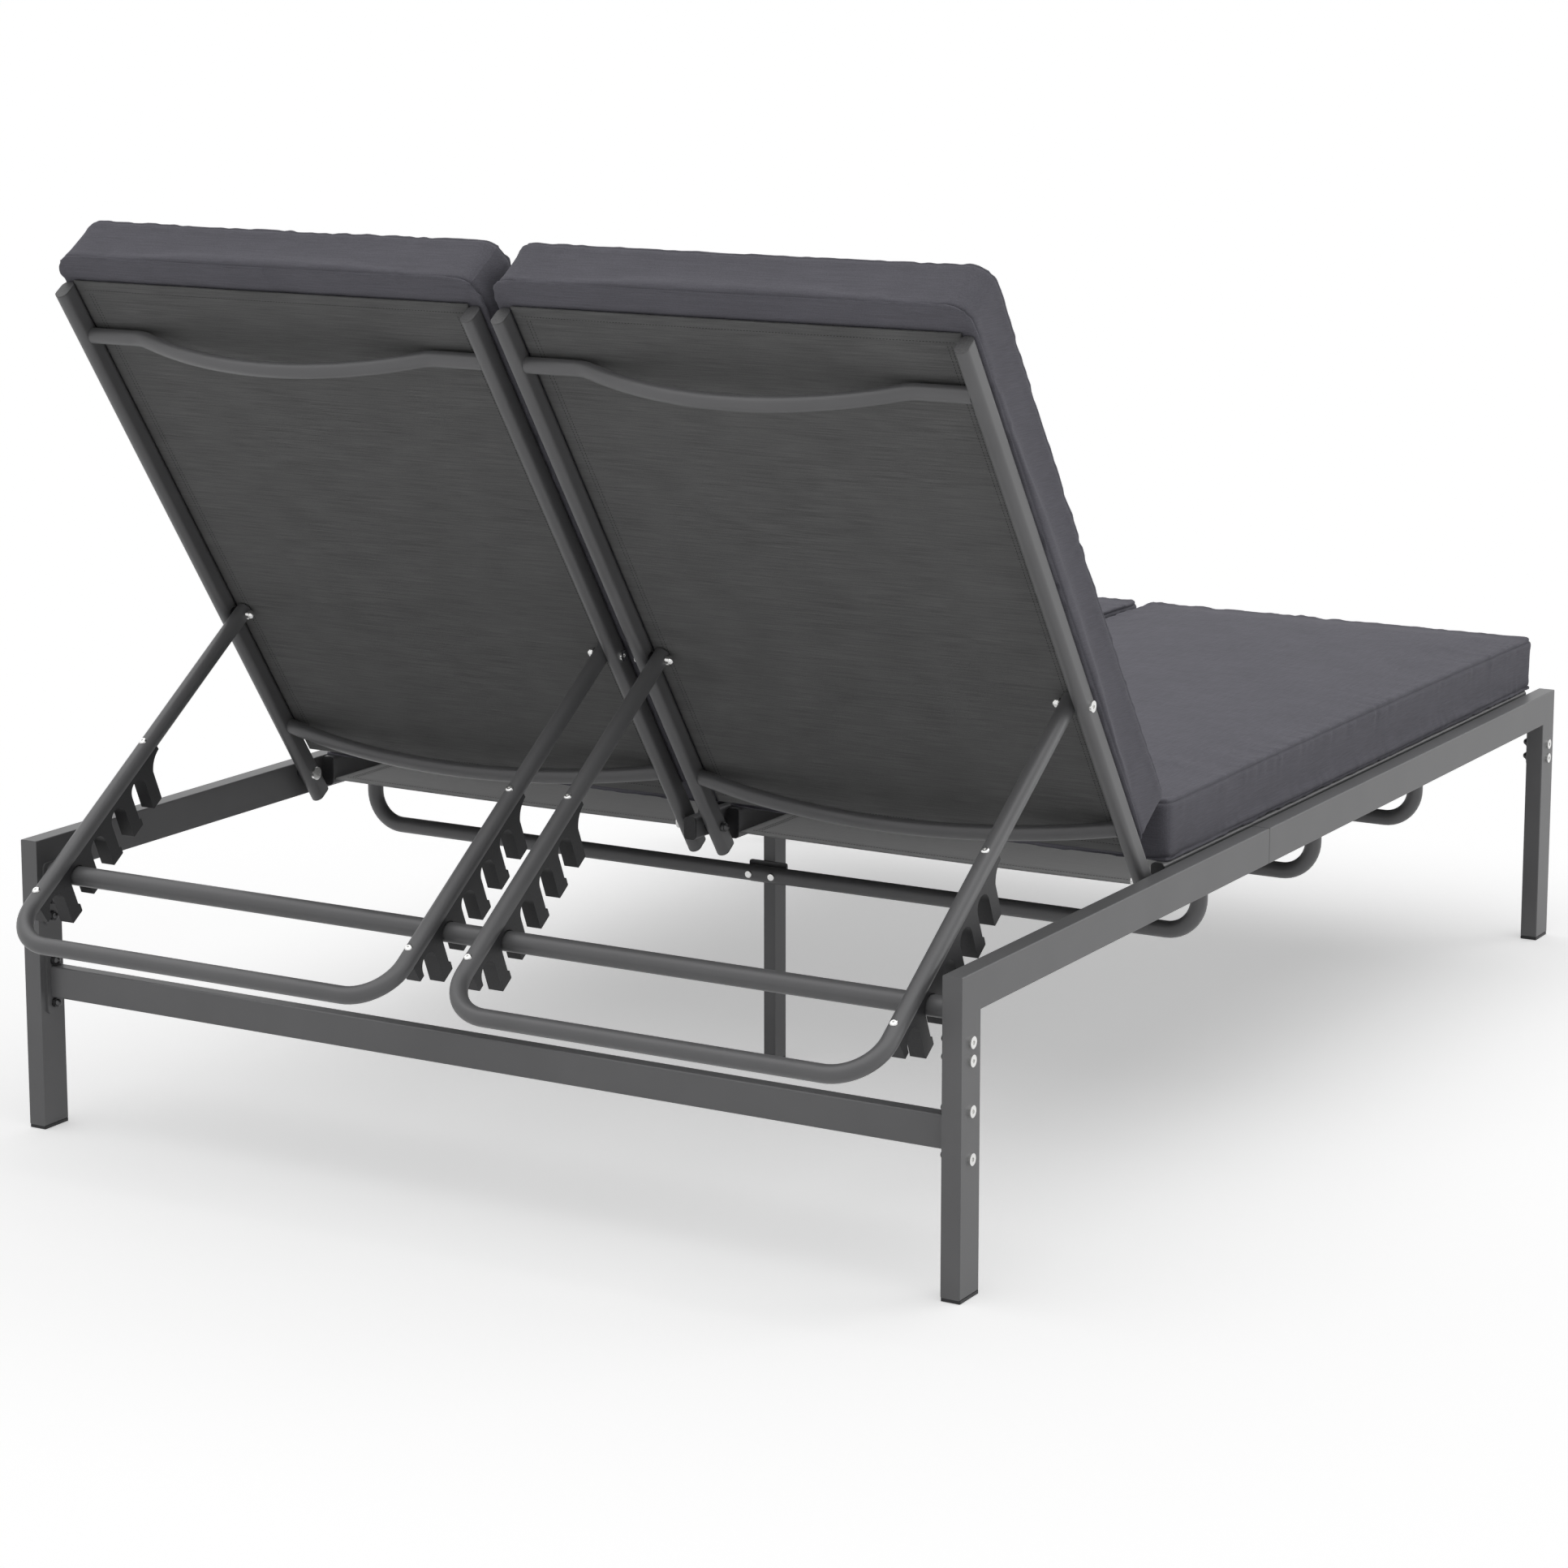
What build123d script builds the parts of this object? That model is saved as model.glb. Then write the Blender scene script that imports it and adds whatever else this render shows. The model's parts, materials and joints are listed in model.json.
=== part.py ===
"""Double chaise lounger: one wide aluminium base, two sling backrests that are
propped separately on a round notch bar, two seat slings and four cushions.

Millimetres. +X is the sitter's left, +Y the head end, +Z up. The origin is the
middle of the whole object's footprint, on the floor.
"""

import os
from math import asin, atan2, cos, degrees, hypot, radians, sin, tan

from build123d import *

os.makedirs("parts", exist_ok=True)

# Overall frame
frame_length = 1930.4
frame_width = 1351.6
frame_height = 380.0

# Side frames: rectangular tube, each side made of two welded halves
side_tube_width = 25.0
side_rail_depth = 47.0
leg_depth = 46.0
side_tube_wall = 1.6
side_edge_radius = 1.5
seam_before_hinge = 295.5
seam_gap = 0.4
sleeve_length = 120.0
sleeve_clearance = 0.3
sleeve_wall = 2.0
foot_cap_thickness = 4.0
foot_plug_depth = 18.0
plug_clearance = 0.3

# Round bars and the flat cross rail between the legs
bar_diameter = 25.4
bar_wall = 2.0
notch_bar_drop = 45.0
notch_bar_inset = 27.0
bar_plate_width = 30.0
bar_plate_thickness = 3.0
bar_plate_drop = 68.0
bar_plate_rise = 14.0
cross_rail_depth = 20.0
cross_rail_tall = 41.0
cross_rail_drop = 187.6
cross_rail_wall = 1.5
rail_plate_tall = 84.0

# Bolts through the legs
leg_bolt_diameter = 8.0
leg_bolt_head_diameter = 14.4
leg_bolt_head_thickness = 3.2
hex_socket_share = 0.42
hex_socket_depth = 2.0
bar_bolt_drops = (34.5, 55.8)
rail_bolt_offset = 28.0
hole_clearance = 0.1
nut_diameter = 12.5
nut_thickness = 5.0
nut_dome_radius = 4.9

# Seat cross bars, bent to a shallow U under the seat
crossbar_diameter = 22.0
crossbar_wall = 1.6
crossbar_drop = 76.0
crossbar_bend_radius = 45.0
crossbar_place_shares = (0.344, 0.6136, 0.8833)
side_gap = 0.7

# Seat rails and the beam between the two seats
seat_rail_width = 18.0
seat_rail_tall = 40.0
seat_rail_wall = 1.5
seat_rail_edge_radius = 5.0
seat_rail_rise = 2.0
seat_rail_foot_gap = 1.0
seat_rail_hinge_gap = 43.0
side_spacer = 6.7
centre_spacer = 3.6
beam_tall = 30.0
beam_past_hinge = 29.0
beam_foot_overhang = 4.0
rail_cap_thickness = 2.0
rail_cap_plug = 12.0
seat_bolt_diameter = 8.0
seat_bolt_head_diameter = 15.0
seat_bolt_head_thickness = 3.0
seat_bolt_place_shares = (0.12, 0.5, 0.86)
spacer_diameter = 17.0

# Leg under the middle
centre_leg_depth = 30.0
clip_plate_thickness = 3.0
clip_plate_width = 58.0
clip_plate_tall = 30.0
clip_rivet_spacing = 35.0
rivet_diameter = 5.0
rivet_head_diameter = 10.0
rivet_head_height = 2.2
rivet_head_sink = 1.2
rivet_socket_diameter = 3.0
rivet_socket_depth = 1.6

# Backrest frames
hinge_from_head = 558.2
back_angle = 55.5
back_rail_width = 18.0
back_rail_depth = 30.0
back_rail_wall = 1.5
back_rail_top = 860.0
back_rail_tail = 39.0
hinge_diameter = 10.0
hinge_clearance = 0.05
hinge_head_diameter = 18.0
hinge_head_thickness = 4.0
running_gap = 0.3
bow_diameter = 20.0
bow_wall = 1.5
bow_depth = 40.0
upper_bow_along = 787.0
lower_bow_along = 92.0
bow_stub = 70.0
bow_kink_radius = 60.0

# Slings
sling_thickness = 1.6
back_sling_front = 13.6
back_sling_start = 36.0
back_sling_end = 866.0
seat_sling_drop = 31.0
sling_edge_gap = 0.1
sling_end_setback = 4.0

# Props with their notched racks
prop_pivot_along = 304.3
prop_diameter = 22.0
prop_wall = 1.6
prop_bend_radius = 59.3
prop_tail = 9.0
pivot_washer = 1.0
pivot_bolt_diameter = 8.0
pivot_bolt_head_diameter = 14.4
pivot_bolt_head_thickness = 3.2
rack_width = 20.0
rack_top_drop = 3.0
bar_offset = 27.0
notch_pitch = 51.0
notch_width = 30.4
notch_lean = 12.0
notch_seat_gap = 0.3
notches_above_bar = 3
tooth_tip_offset = 67.0
tooth_width = 20.5
tooth_lip = 3.2
tooth_lip_height = 7.0
rack_heel_radius = 26.0
rack_toe_length = 25.5
rack_toe_offset = 29.0
tooth_corner_radius = 1.5
upper_rivet_before_heel = 17.2
lower_rivet_past_notch = 8.8
rivet_shank_reach = 18.0

# Cushions
cushion_thickness = 78.0
cushion_gap = 0.3
cushion_side_overhang = 1.0
cushion_middle_gap = 12.0
cushion_crown = 7.0
cushion_draw_in = 5.0
cushion_edge_radius = 15.0
cushion_end_crown = 2.0
cushion_end_radius = 12.0
seat_cushion_foot_setback = 8.0
seat_cushion_hinge_gap = 62.0
back_cushion_start = 58.0
back_cushion_end = 905.0

# One overrun serves all cuts
overrun = 2.0

# Derived places across the object
side_outer = frame_width / 2
side_inner = side_outer - side_tube_width
outer_rail_x = side_inner - side_spacer - seat_rail_width / 2
beam_half = seat_rail_width / 2
inner_rail_x = beam_half + centre_spacer + seat_rail_width / 2
rail_inner_face = outer_rail_x - seat_rail_width / 2
inner_rail_outer_face = inner_rail_x + seat_rail_width / 2
outer_prop_x = outer_rail_x - back_rail_width / 2 - pivot_washer - prop_diameter / 2
inner_prop_x = inner_rail_x + back_rail_width / 2 + pivot_washer + prop_diameter / 2
sling_middle_x = (rail_inner_face + inner_rail_outer_face) / 2
sling_width = rail_inner_face - inner_rail_outer_face
back_rail_round = back_rail_width / 2
back_sling_rear = back_sling_front - sling_thickness
sling_above_round = back_sling_rear - (back_rail_depth / 2 - back_rail_round)
rail_half_at_sling = (back_rail_round**2 - sling_above_round**2) ** 0.5
back_sling_reach = back_rail_round - rail_half_at_sling - sling_edge_gap

# Derived heights
notch_bar_height = frame_height - notch_bar_drop
cross_rail_height = frame_height - cross_rail_drop
seat_rail_top = frame_height + seat_rail_rise
seat_rail_middle = seat_rail_top - seat_rail_tall / 2
seat_rail_bottom = seat_rail_top - seat_rail_tall
crossbar_height = seat_rail_bottom - crossbar_drop
hinge_z = seat_rail_top - beam_tall / 2
beam_bottom = seat_rail_top - beam_tall
foot_bar_height = beam_bottom - bar_diameter / 2

# The back plane's and the prop's directions, and how far the prop reaches
back_cos, back_sin = cos(radians(back_angle)), sin(radians(back_angle))
hinge_from_foot = frame_length - hinge_from_head
bar_from_foot = frame_length - notch_bar_inset
pivot_from_foot = hinge_from_foot + prop_pivot_along * back_cos
pivot_z = hinge_z + prop_pivot_along * back_sin
bar_run = bar_from_foot - pivot_from_foot
bar_fall = pivot_z - notch_bar_height
bar_distance = hypot(bar_run, bar_fall)
prop_slope = degrees(atan2(bar_fall, bar_run) - asin(bar_offset / bar_distance))
prop_cos, prop_sin = cos(radians(prop_slope)), sin(radians(prop_slope))
bar_along = (bar_distance**2 - bar_offset**2) ** 0.5
lean_cos, lean_sin = cos(radians(notch_lean)), sin(radians(notch_lean))
notch_slack = notch_width / 2 - bar_diameter / 2 - notch_seat_gap
first_notch_along = bar_along + notch_slack * lean_cos - notches_above_bar * notch_pitch
last_notch_along = first_notch_along + (notches_above_bar + 1) * notch_pitch
notch_above = notch_slack * lean_sin - bar_offset
rack_heel_along = first_notch_along - notch_width / 2 / lean_cos - tooth_width
prop_length = last_notch_along + rack_toe_length + prop_bend_radius
whole_length = pivot_from_foot + prop_length * prop_cos + prop_diameter / 2

# Places along the object, measured from the middle of the footprint
foot_end = -whole_length / 2
head_end = foot_end + frame_length
hinge_y = foot_end + hinge_from_foot
pivot_y = foot_end + pivot_from_foot
bar_y = foot_end + bar_from_foot
head_bolt_y = head_end - leg_depth / 2
head_plate_y = (bar_y + head_bolt_y) / 2
foot_bar_y = foot_end + leg_depth / 2
seam_y = hinge_y - seam_before_hinge
crossbar_ys = [foot_end + share * hinge_from_foot for share in crossbar_place_shares]
head_crossbar_y = crossbar_ys[-1]
seat_rail_foot_y = foot_bar_y + bar_diameter / 2 + seat_rail_foot_gap
seat_rail_head_y = hinge_y - seat_rail_hinge_gap
seat_rail_length = seat_rail_head_y - seat_rail_foot_y
seat_bolt_ys = [seat_rail_foot_y + share * seat_rail_length for share in seat_bolt_place_shares]
centre_leg_y = head_crossbar_y - crossbar_diameter / 2 - clip_plate_thickness - centre_leg_depth / 2

# The plane of the backrest: local x across, y up along the rails, z towards the sitter
back = Plane(
    origin=(0, hinge_y, hinge_z),
    x_dir=(1, 0, 0),
    z_dir=(0, -back_sin, back_cos),
)
# The plane of the prop: local x across, y down along its legs, z above it
prop = Plane(
    origin=(0, pivot_y, pivot_z),
    x_dir=(1, 0, 0),
    z_dir=(0, prop_sin, prop_cos),
)
rivet_alongs = (
    rack_heel_along - upper_rivet_before_heel,
    last_notch_along + lower_rivet_past_notch,
)
rivet_spots = [(x, along) for x in (outer_prop_x, inner_prop_x) for along in rivet_alongs]


def save(name, piece):
    """Label a finished piece and write it."""
    piece.part.label = name
    export_step(piece.part, f"parts/{name}.step")


def save_pair(name, left):
    """Write the left piece and its mirror image."""
    save(f"left_{name}", left)
    with BuildPart() as right:
        mirror(left.part, about=Plane.YZ)
    save(f"right_{name}", right)


def rod_x(radius, x_from, x_to, y, z, mode=Mode.ADD):
    """A round rod, or a round cut, along X."""
    with Locations(((x_from + x_to) / 2, y, z)):
        Cylinder(radius, abs(x_to - x_from), rotation=(0, 90, 0), mode=mode)


def drill_x(radius, x_from, x_to, y, z):
    """A round hole along X that overruns both faces."""
    rod_x(radius, x_from - overrun, x_to + overrun, y, z, mode=Mode.SUBTRACT)


def back_cross_plane(x, along):
    """The plane square to the backrest's rails, at a place on them."""
    return Plane(
        origin=back.from_local_coords((x, along, 0)),
        x_dir=(1, 0, 0),
        z_dir=(0, back_cos, back_sin),
    )


# Where the bolts go through the legs: y and z
head_leg_bolts = [(head_bolt_y, notch_bar_height - drop) for drop in bar_bolt_drops]
head_leg_bolts += [(head_bolt_y, cross_rail_height + side * rail_bolt_offset) for side in (1, -1)]
foot_bolt_heights = [notch_bar_height - drop for drop in bar_bolt_drops]
foot_leg_bolts = [(foot_bar_y, height) for height in foot_bolt_heights]


def side_frame_half(toward_head):
    """One welded L: half of the side rail with its leg."""
    outer_x, inner_x = side_outer, side_inner
    end_y = head_end if toward_head else foot_end
    leg_y = end_y - leg_depth if toward_head else end_y + leg_depth
    end_in_y = end_y - side_tube_wall if toward_head else end_y + side_tube_wall
    leg_in_y = leg_y + side_tube_wall if toward_head else leg_y - side_tube_wall
    rail_bottom = frame_height - side_rail_depth
    bottom = foot_cap_thickness
    start_y = seam_y + seam_gap / 2 if toward_head else seam_y - seam_gap / 2
    cut_start_y = start_y - overrun if toward_head else start_y + overrun
    with BuildPart() as half:
        with BuildSketch(Plane.YZ.offset(inner_x)):
            with BuildLine():
                Polyline(
                    (start_y, rail_bottom),
                    (start_y, frame_height),
                    (end_y, frame_height),
                    (end_y, bottom),
                    (leg_y, bottom),
                    (leg_y, rail_bottom),
                    close=True,
                )
            make_face()
        extrude(amount=side_tube_width)
        fillet(half.edges().filter_by(Axis.Y), radius=side_edge_radius)
        fillet(half.edges().filter_by(Axis.Z).group_by(Axis.Z)[0], radius=side_edge_radius)
        with BuildSketch(Plane.YZ.offset(inner_x + side_tube_wall)):
            with BuildLine():
                Polyline(
                    (cut_start_y, rail_bottom + side_tube_wall),
                    (cut_start_y, frame_height - side_tube_wall),
                    (end_in_y, frame_height - side_tube_wall),
                    (end_in_y, bottom - overrun),
                    (leg_in_y, bottom - overrun),
                    (leg_in_y, rail_bottom + side_tube_wall),
                    close=True,
                )
            make_face()
        extrude(amount=side_tube_width - 2 * side_tube_wall, mode=Mode.SUBTRACT)
        for y, z in head_leg_bolts if toward_head else foot_leg_bolts:
            drill_x(leg_bolt_diameter / 2 + hole_clearance, inner_x, outer_x, y, z)
        for y in seat_bolt_ys:
            if (y > seam_y) == toward_head:
                drill_x(
                    seat_bolt_diameter / 2 + hole_clearance,
                    inner_x,
                    inner_x + side_tube_wall,
                    y,
                    seat_rail_middle,
                )
        if toward_head:
            drill_x(hinge_diameter / 2, inner_x, inner_x + side_tube_wall, hinge_y, hinge_z)
    return half


def rail_sleeves():
    """The inner sleeves that join the two halves of each side rail."""
    width = side_tube_width - 2 * side_tube_wall - 2 * sleeve_clearance
    tall = side_rail_depth - 2 * side_tube_wall - 2 * sleeve_clearance
    middle_x = side_outer - side_tube_width / 2
    middle_z = frame_height - side_rail_depth / 2
    start = Plane.XZ.offset(-(seam_y - sleeve_length / 2))
    with BuildPart() as sleeves:
        with BuildSketch(start):
            with Locations((middle_x, middle_z), (-middle_x, middle_z)):
                Rectangle(width, tall)
                Rectangle(width - 2 * sleeve_wall, tall - 2 * sleeve_wall, mode=Mode.SUBTRACT)
        extrude(amount=-sleeve_length)
    return sleeves


def foot_caps():
    """Plastic feet that plug the lower ends of all five legs."""
    side_x = side_outer - side_tube_width / 2
    leg_ys = (head_end - leg_depth / 2, foot_end + leg_depth / 2)
    corners = [(side * side_x, y) for side in (1, -1) for y in leg_ys]
    inset = side_tube_wall + plug_clearance
    centre_inset = seat_rail_wall + plug_clearance
    with BuildPart() as caps:
        with BuildSketch(Plane.XY):
            with Locations(*corners):
                RectangleRounded(side_tube_width, leg_depth, side_edge_radius)
            with Locations((0, centre_leg_y)):
                RectangleRounded(seat_rail_width, centre_leg_depth, side_edge_radius)
        extrude(amount=foot_cap_thickness)
        with BuildSketch(Plane.XY.offset(foot_cap_thickness)):
            with Locations(*corners):
                Rectangle(side_tube_width - 2 * inset, leg_depth - 2 * inset)
            with Locations((0, centre_leg_y)):
                Rectangle(seat_rail_width - 2 * centre_inset, centre_leg_depth - 2 * centre_inset)
        extrude(amount=foot_plug_depth)
    return caps


def round_bar(y, z):
    """A round tube across the object, from plate to plate."""
    reach = side_inner - bar_plate_thickness
    with BuildPart() as bar:
        with BuildSketch(Plane.YZ.offset(-reach)):
            with Locations((y, z)):
                Circle(bar_diameter / 2)
                Circle(bar_diameter / 2 - bar_wall, mode=Mode.SUBTRACT)
        extrude(amount=2 * reach)
    return bar


def bar_plates():
    """Plates welded to the ends of both round bars and bolted to the legs."""
    start_x = side_inner - bar_plate_thickness
    bolt_top = notch_bar_height
    places = [
        (head_plate_y, head_bolt_y, notch_bar_height),
        (foot_bar_y, foot_bar_y, foot_bar_height),
    ]
    with BuildPart() as plates:
        for side in (1, -1):
            face_x = start_x if side > 0 else -side_inner
            for y, bolt_y, bar_z in places:
                low, high = bolt_top - bar_plate_drop, bar_z + bar_plate_rise
                with BuildSketch(Plane.YZ.offset(face_x)):
                    with Locations((y, (low + high) / 2)):
                        RectangleRounded(bar_plate_width, high - low, bar_plate_width / 4)
                    with Locations(*[(bolt_y, bolt_top - drop) for drop in bar_bolt_drops]):
                        Circle(leg_bolt_diameter / 2 + hole_clearance, mode=Mode.SUBTRACT)
                extrude(amount=bar_plate_thickness)
    return plates


def head_cross_rail():
    """The flat rail between the head legs, with its bolted end plates."""
    reach = side_inner - bar_plate_thickness
    with BuildPart() as rail:
        with BuildSketch(Plane.YZ.offset(-reach)):
            with Locations((bar_y, cross_rail_height)):
                RectangleRounded(cross_rail_depth, cross_rail_tall, side_edge_radius * 2)
                offset(amount=-cross_rail_wall, mode=Mode.SUBTRACT)
        extrude(amount=2 * reach)
        for face_x in (reach, -side_inner):
            with BuildSketch(Plane.YZ.offset(face_x)):
                with Locations((head_plate_y, cross_rail_height)):
                    RectangleRounded(bar_plate_width, rail_plate_tall, bar_plate_width / 4)
                with Locations((head_bolt_y, cross_rail_height)):
                    with Locations((0, rail_bolt_offset), (0, -rail_bolt_offset)):
                        Circle(leg_bolt_diameter / 2 + hole_clearance, mode=Mode.SUBTRACT)
            extrude(amount=bar_plate_thickness)
    return rail


def leg_bolts():
    """Button-head bolts through the legs and the plates behind them."""
    end_x = side_inner - bar_plate_thickness - nut_thickness / 2
    with BuildPart() as bolts:
        for side in (1, -1):
            for y, z in head_leg_bolts + foot_leg_bolts:
                rod_x(leg_bolt_diameter / 2, side * end_x, side * side_outer, y, z)
        head_plane = Plane.YZ.offset(side_outer)
        for plane in (head_plane, Plane.YZ.offset(-side_outer)):
            outward = 1 if plane is head_plane else -1
            with BuildSketch(plane):
                with Locations(*(head_leg_bolts + foot_leg_bolts)):
                    Circle(leg_bolt_head_diameter / 2)
            extrude(amount=outward * leg_bolt_head_thickness)
            socket_x = outward * (side_outer + leg_bolt_head_thickness)
            with BuildSketch(Plane.YZ.offset(socket_x)):
                with Locations(*(head_leg_bolts + foot_leg_bolts)):
                    RegularPolygon(leg_bolt_head_diameter * hex_socket_share / 2, 6)
            extrude(amount=-outward * hex_socket_depth, mode=Mode.SUBTRACT)
    return bolts


def dome_nut(x_face, direction, y, z, bolt_radius):
    """A domed nut on a bolt's end, with the bolt's hole in it."""
    with Locations((x_face + direction * nut_thickness / 2, y, z)):
        Cylinder(nut_diameter / 2, nut_thickness, rotation=(0, 90, 0))
    with Locations((x_face + direction * nut_thickness, y, z)):
        Sphere(nut_dome_radius)
    hole_start = x_face - direction * overrun
    hole_end = x_face + direction * (nut_thickness / 2 + hole_clearance)
    rod_x(bolt_radius + hole_clearance, hole_start, hole_end, y, z, mode=Mode.SUBTRACT)


def frame_nuts():
    """Domed nuts on the legs' bolts, the centre rail bolts and the middle hinge bolt."""
    with BuildPart() as nuts:
        for side in (1, -1):
            for y, z in head_leg_bolts + foot_leg_bolts:
                face = side * (side_inner - bar_plate_thickness)
                dome_nut(face, -side, y, z, leg_bolt_diameter / 2)
        for y in seat_bolt_ys:
            dome_nut(-inner_rail_outer_face, -1, y, seat_rail_middle, seat_bolt_diameter / 2)
        hinge_face = -inner_rail_outer_face - running_gap
        dome_nut(hinge_face, -1, hinge_y, hinge_z, hinge_diameter / 2)
    return nuts


def seat_crossbar(y):
    """A shallow U of round tube, its ends under the outer seat rails."""
    reach = side_inner - side_gap - crossbar_diameter / 2
    rivet_xs = (clip_rivet_spacing / 2, -clip_rivet_spacing / 2) if y == head_crossbar_y else ()
    with BuildPart() as crossbar:
        with BuildLine():
            FilletPolyline(
                (-reach, y, seat_rail_bottom),
                (-reach, y, crossbar_height),
                (reach, y, crossbar_height),
                (reach, y, seat_rail_bottom),
                radius=crossbar_bend_radius,
            )
        with BuildSketch(Plane(origin=(-reach, y, seat_rail_bottom), z_dir=(0, 0, -1))):
            Circle(crossbar_diameter / 2)
            Circle(crossbar_diameter / 2 - crossbar_wall, mode=Mode.SUBTRACT)
        sweep()
        for x in rivet_xs:
            with Locations((x, y, crossbar_height)):
                Cylinder(
                    rivet_diameter / 2 + hole_clearance,
                    crossbar_diameter + overrun,
                    rotation=(90, 0, 0),
                    mode=Mode.SUBTRACT,
                )
    return crossbar


def seat_rail(x, bolted_from, bolted_to):
    """A rounded seat rail that holds one edge of the seat sling."""
    with BuildPart() as rail:
        with BuildSketch(Plane.XZ.offset(-seat_rail_foot_y)):
            with Locations((x, seat_rail_middle)):
                RectangleRounded(seat_rail_width, seat_rail_tall, seat_rail_edge_radius)
                offset(amount=-seat_rail_wall, mode=Mode.SUBTRACT)
        extrude(amount=-seat_rail_length)
        for y in seat_bolt_ys:
            radius = seat_bolt_diameter / 2 + hole_clearance
            drill_x(radius, bolted_from, bolted_to, y, seat_rail_middle)
    return rail


def centre_beam():
    """The beam between the seats, on the foot bar and the centre leg."""
    start_y = foot_bar_y - beam_foot_overhang
    end_y = hinge_y + beam_past_hinge
    with BuildPart() as beam:
        with BuildSketch(Plane.XZ.offset(-start_y)):
            with Locations((0, hinge_z)):
                RectangleRounded(seat_rail_width, beam_tall, seat_rail_edge_radius)
                offset(amount=-seat_rail_wall, mode=Mode.SUBTRACT)
        extrude(amount=-(end_y - start_y))
        radius = seat_bolt_diameter / 2 + hole_clearance
        for y in seat_bolt_ys:
            drill_x(radius, -beam_half, beam_half, y, seat_rail_middle)
        drill_x(hinge_diameter / 2, -beam_half, beam_half, hinge_y, hinge_z)
    return beam


def rail_end_caps():
    """Plastic caps that plug the ends of the seat rails and the beam."""
    rail_xs = [side * x for side in (1, -1) for x in (outer_rail_x, inner_rail_x)]
    rail_spots = [(x, seat_rail_middle) for x in rail_xs]
    beam_foot_y = foot_bar_y - beam_foot_overhang
    beam_head_y = hinge_y + beam_past_hinge
    groups = [
        (seat_rail_head_y, 1, rail_spots, seat_rail_tall),
        (beam_foot_y, -1, [(0, hinge_z)], beam_tall),
        (beam_head_y, 1, [(0, hinge_z)], beam_tall),
    ]
    inset = seat_rail_wall + plug_clearance
    with BuildPart() as caps:
        for y, outward, spots, tall in groups:
            with BuildSketch(Plane.XZ.offset(-y)):
                with Locations(*spots):
                    RectangleRounded(seat_rail_width, tall, seat_rail_edge_radius)
            extrude(amount=-outward * rail_cap_thickness)
            with BuildSketch(Plane.XZ.offset(-y)):
                with Locations(*spots):
                    RectangleRounded(
                        seat_rail_width - 2 * inset,
                        tall - 2 * inset,
                        seat_rail_edge_radius - inset,
                    )
            extrude(amount=outward * rail_cap_plug)
    return caps


def seat_rail_bolts():
    """Bolts from the outer seat rails into the side rails."""
    end_x = side_inner + side_tube_wall + seat_bolt_head_thickness
    with BuildPart() as bolts:
        for side in (1, -1):
            for y in seat_bolt_ys:
                face = side * rail_inner_face
                head = side * (rail_inner_face - seat_bolt_head_thickness)
                rod_x(seat_bolt_diameter / 2, face, side * end_x, y, seat_rail_middle)
                rod_x(seat_bolt_head_diameter / 2, head, face, y, seat_rail_middle)
    return bolts


def centre_rail_bolts():
    """Long bolts through the inner seat rails and the beam between them."""
    nut_end = -inner_rail_outer_face - nut_thickness / 2
    head_x = inner_rail_outer_face
    with BuildPart() as bolts:
        for y in seat_bolt_ys:
            rod_x(seat_bolt_diameter / 2, nut_end, head_x, y, seat_rail_middle)
            head_end_x = head_x + seat_bolt_head_thickness
            rod_x(seat_bolt_head_diameter / 2, head_x, head_end_x, y, seat_rail_middle)
    return bolts


def spacer(x_from, x_to, y, z, hole_radius):
    """One washer-like spacer on a bolt."""
    rod_x(spacer_diameter / 2, x_from, x_to, y, z)
    drill_x(hole_radius, min(x_from, x_to), max(x_from, x_to), y, z)


def frame_spacers():
    """Spacers between the rails, beside the beam, and on the hinge bolts."""
    bolt_hole = seat_bolt_diameter / 2 + hole_clearance
    hinge_hole = hinge_diameter / 2 + hinge_clearance
    outer_face = outer_rail_x + seat_rail_width / 2
    with BuildPart() as spacers:
        for side in (1, -1):
            for y in seat_bolt_ys:
                z = seat_rail_middle
                spacer(side * outer_face, side * side_inner, y, z, bolt_hole)
                far = beam_half + centre_spacer
                spacer(side * beam_half, side * far, y, z, bolt_hole)
            hinge_outer = outer_face + running_gap
            hinge_inner = beam_half + centre_spacer - running_gap
            spacer(side * hinge_outer, side * side_inner, hinge_y, hinge_z, hinge_hole)
            spacer(side * beam_half, side * hinge_inner, hinge_y, hinge_z, hinge_hole)
    return spacers


def hinge_bolts():
    """Shouldered bolts from the outer backrest rails into the side rails."""
    end_x = side_inner + side_tube_wall + hinge_head_thickness
    with BuildPart() as bolts:
        for side in (1, -1):
            face = rail_inner_face - running_gap
            head = face - hinge_head_thickness
            rod_x(hinge_diameter / 2, side * face, side * end_x, hinge_y, hinge_z)
            rod_x(hinge_head_diameter / 2, side * head, side * face, hinge_y, hinge_z)
    return bolts


def centre_hinge_bolt():
    """The long hinge bolt through both inner backrest rails and the beam."""
    face = inner_rail_outer_face + running_gap
    with BuildPart() as bolt:
        rod_x(hinge_diameter / 2, -face - nut_thickness / 2, face, hinge_y, hinge_z)
        rod_x(hinge_head_diameter / 2, face, face + hinge_head_thickness, hinge_y, hinge_z)
    return bolt


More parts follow.
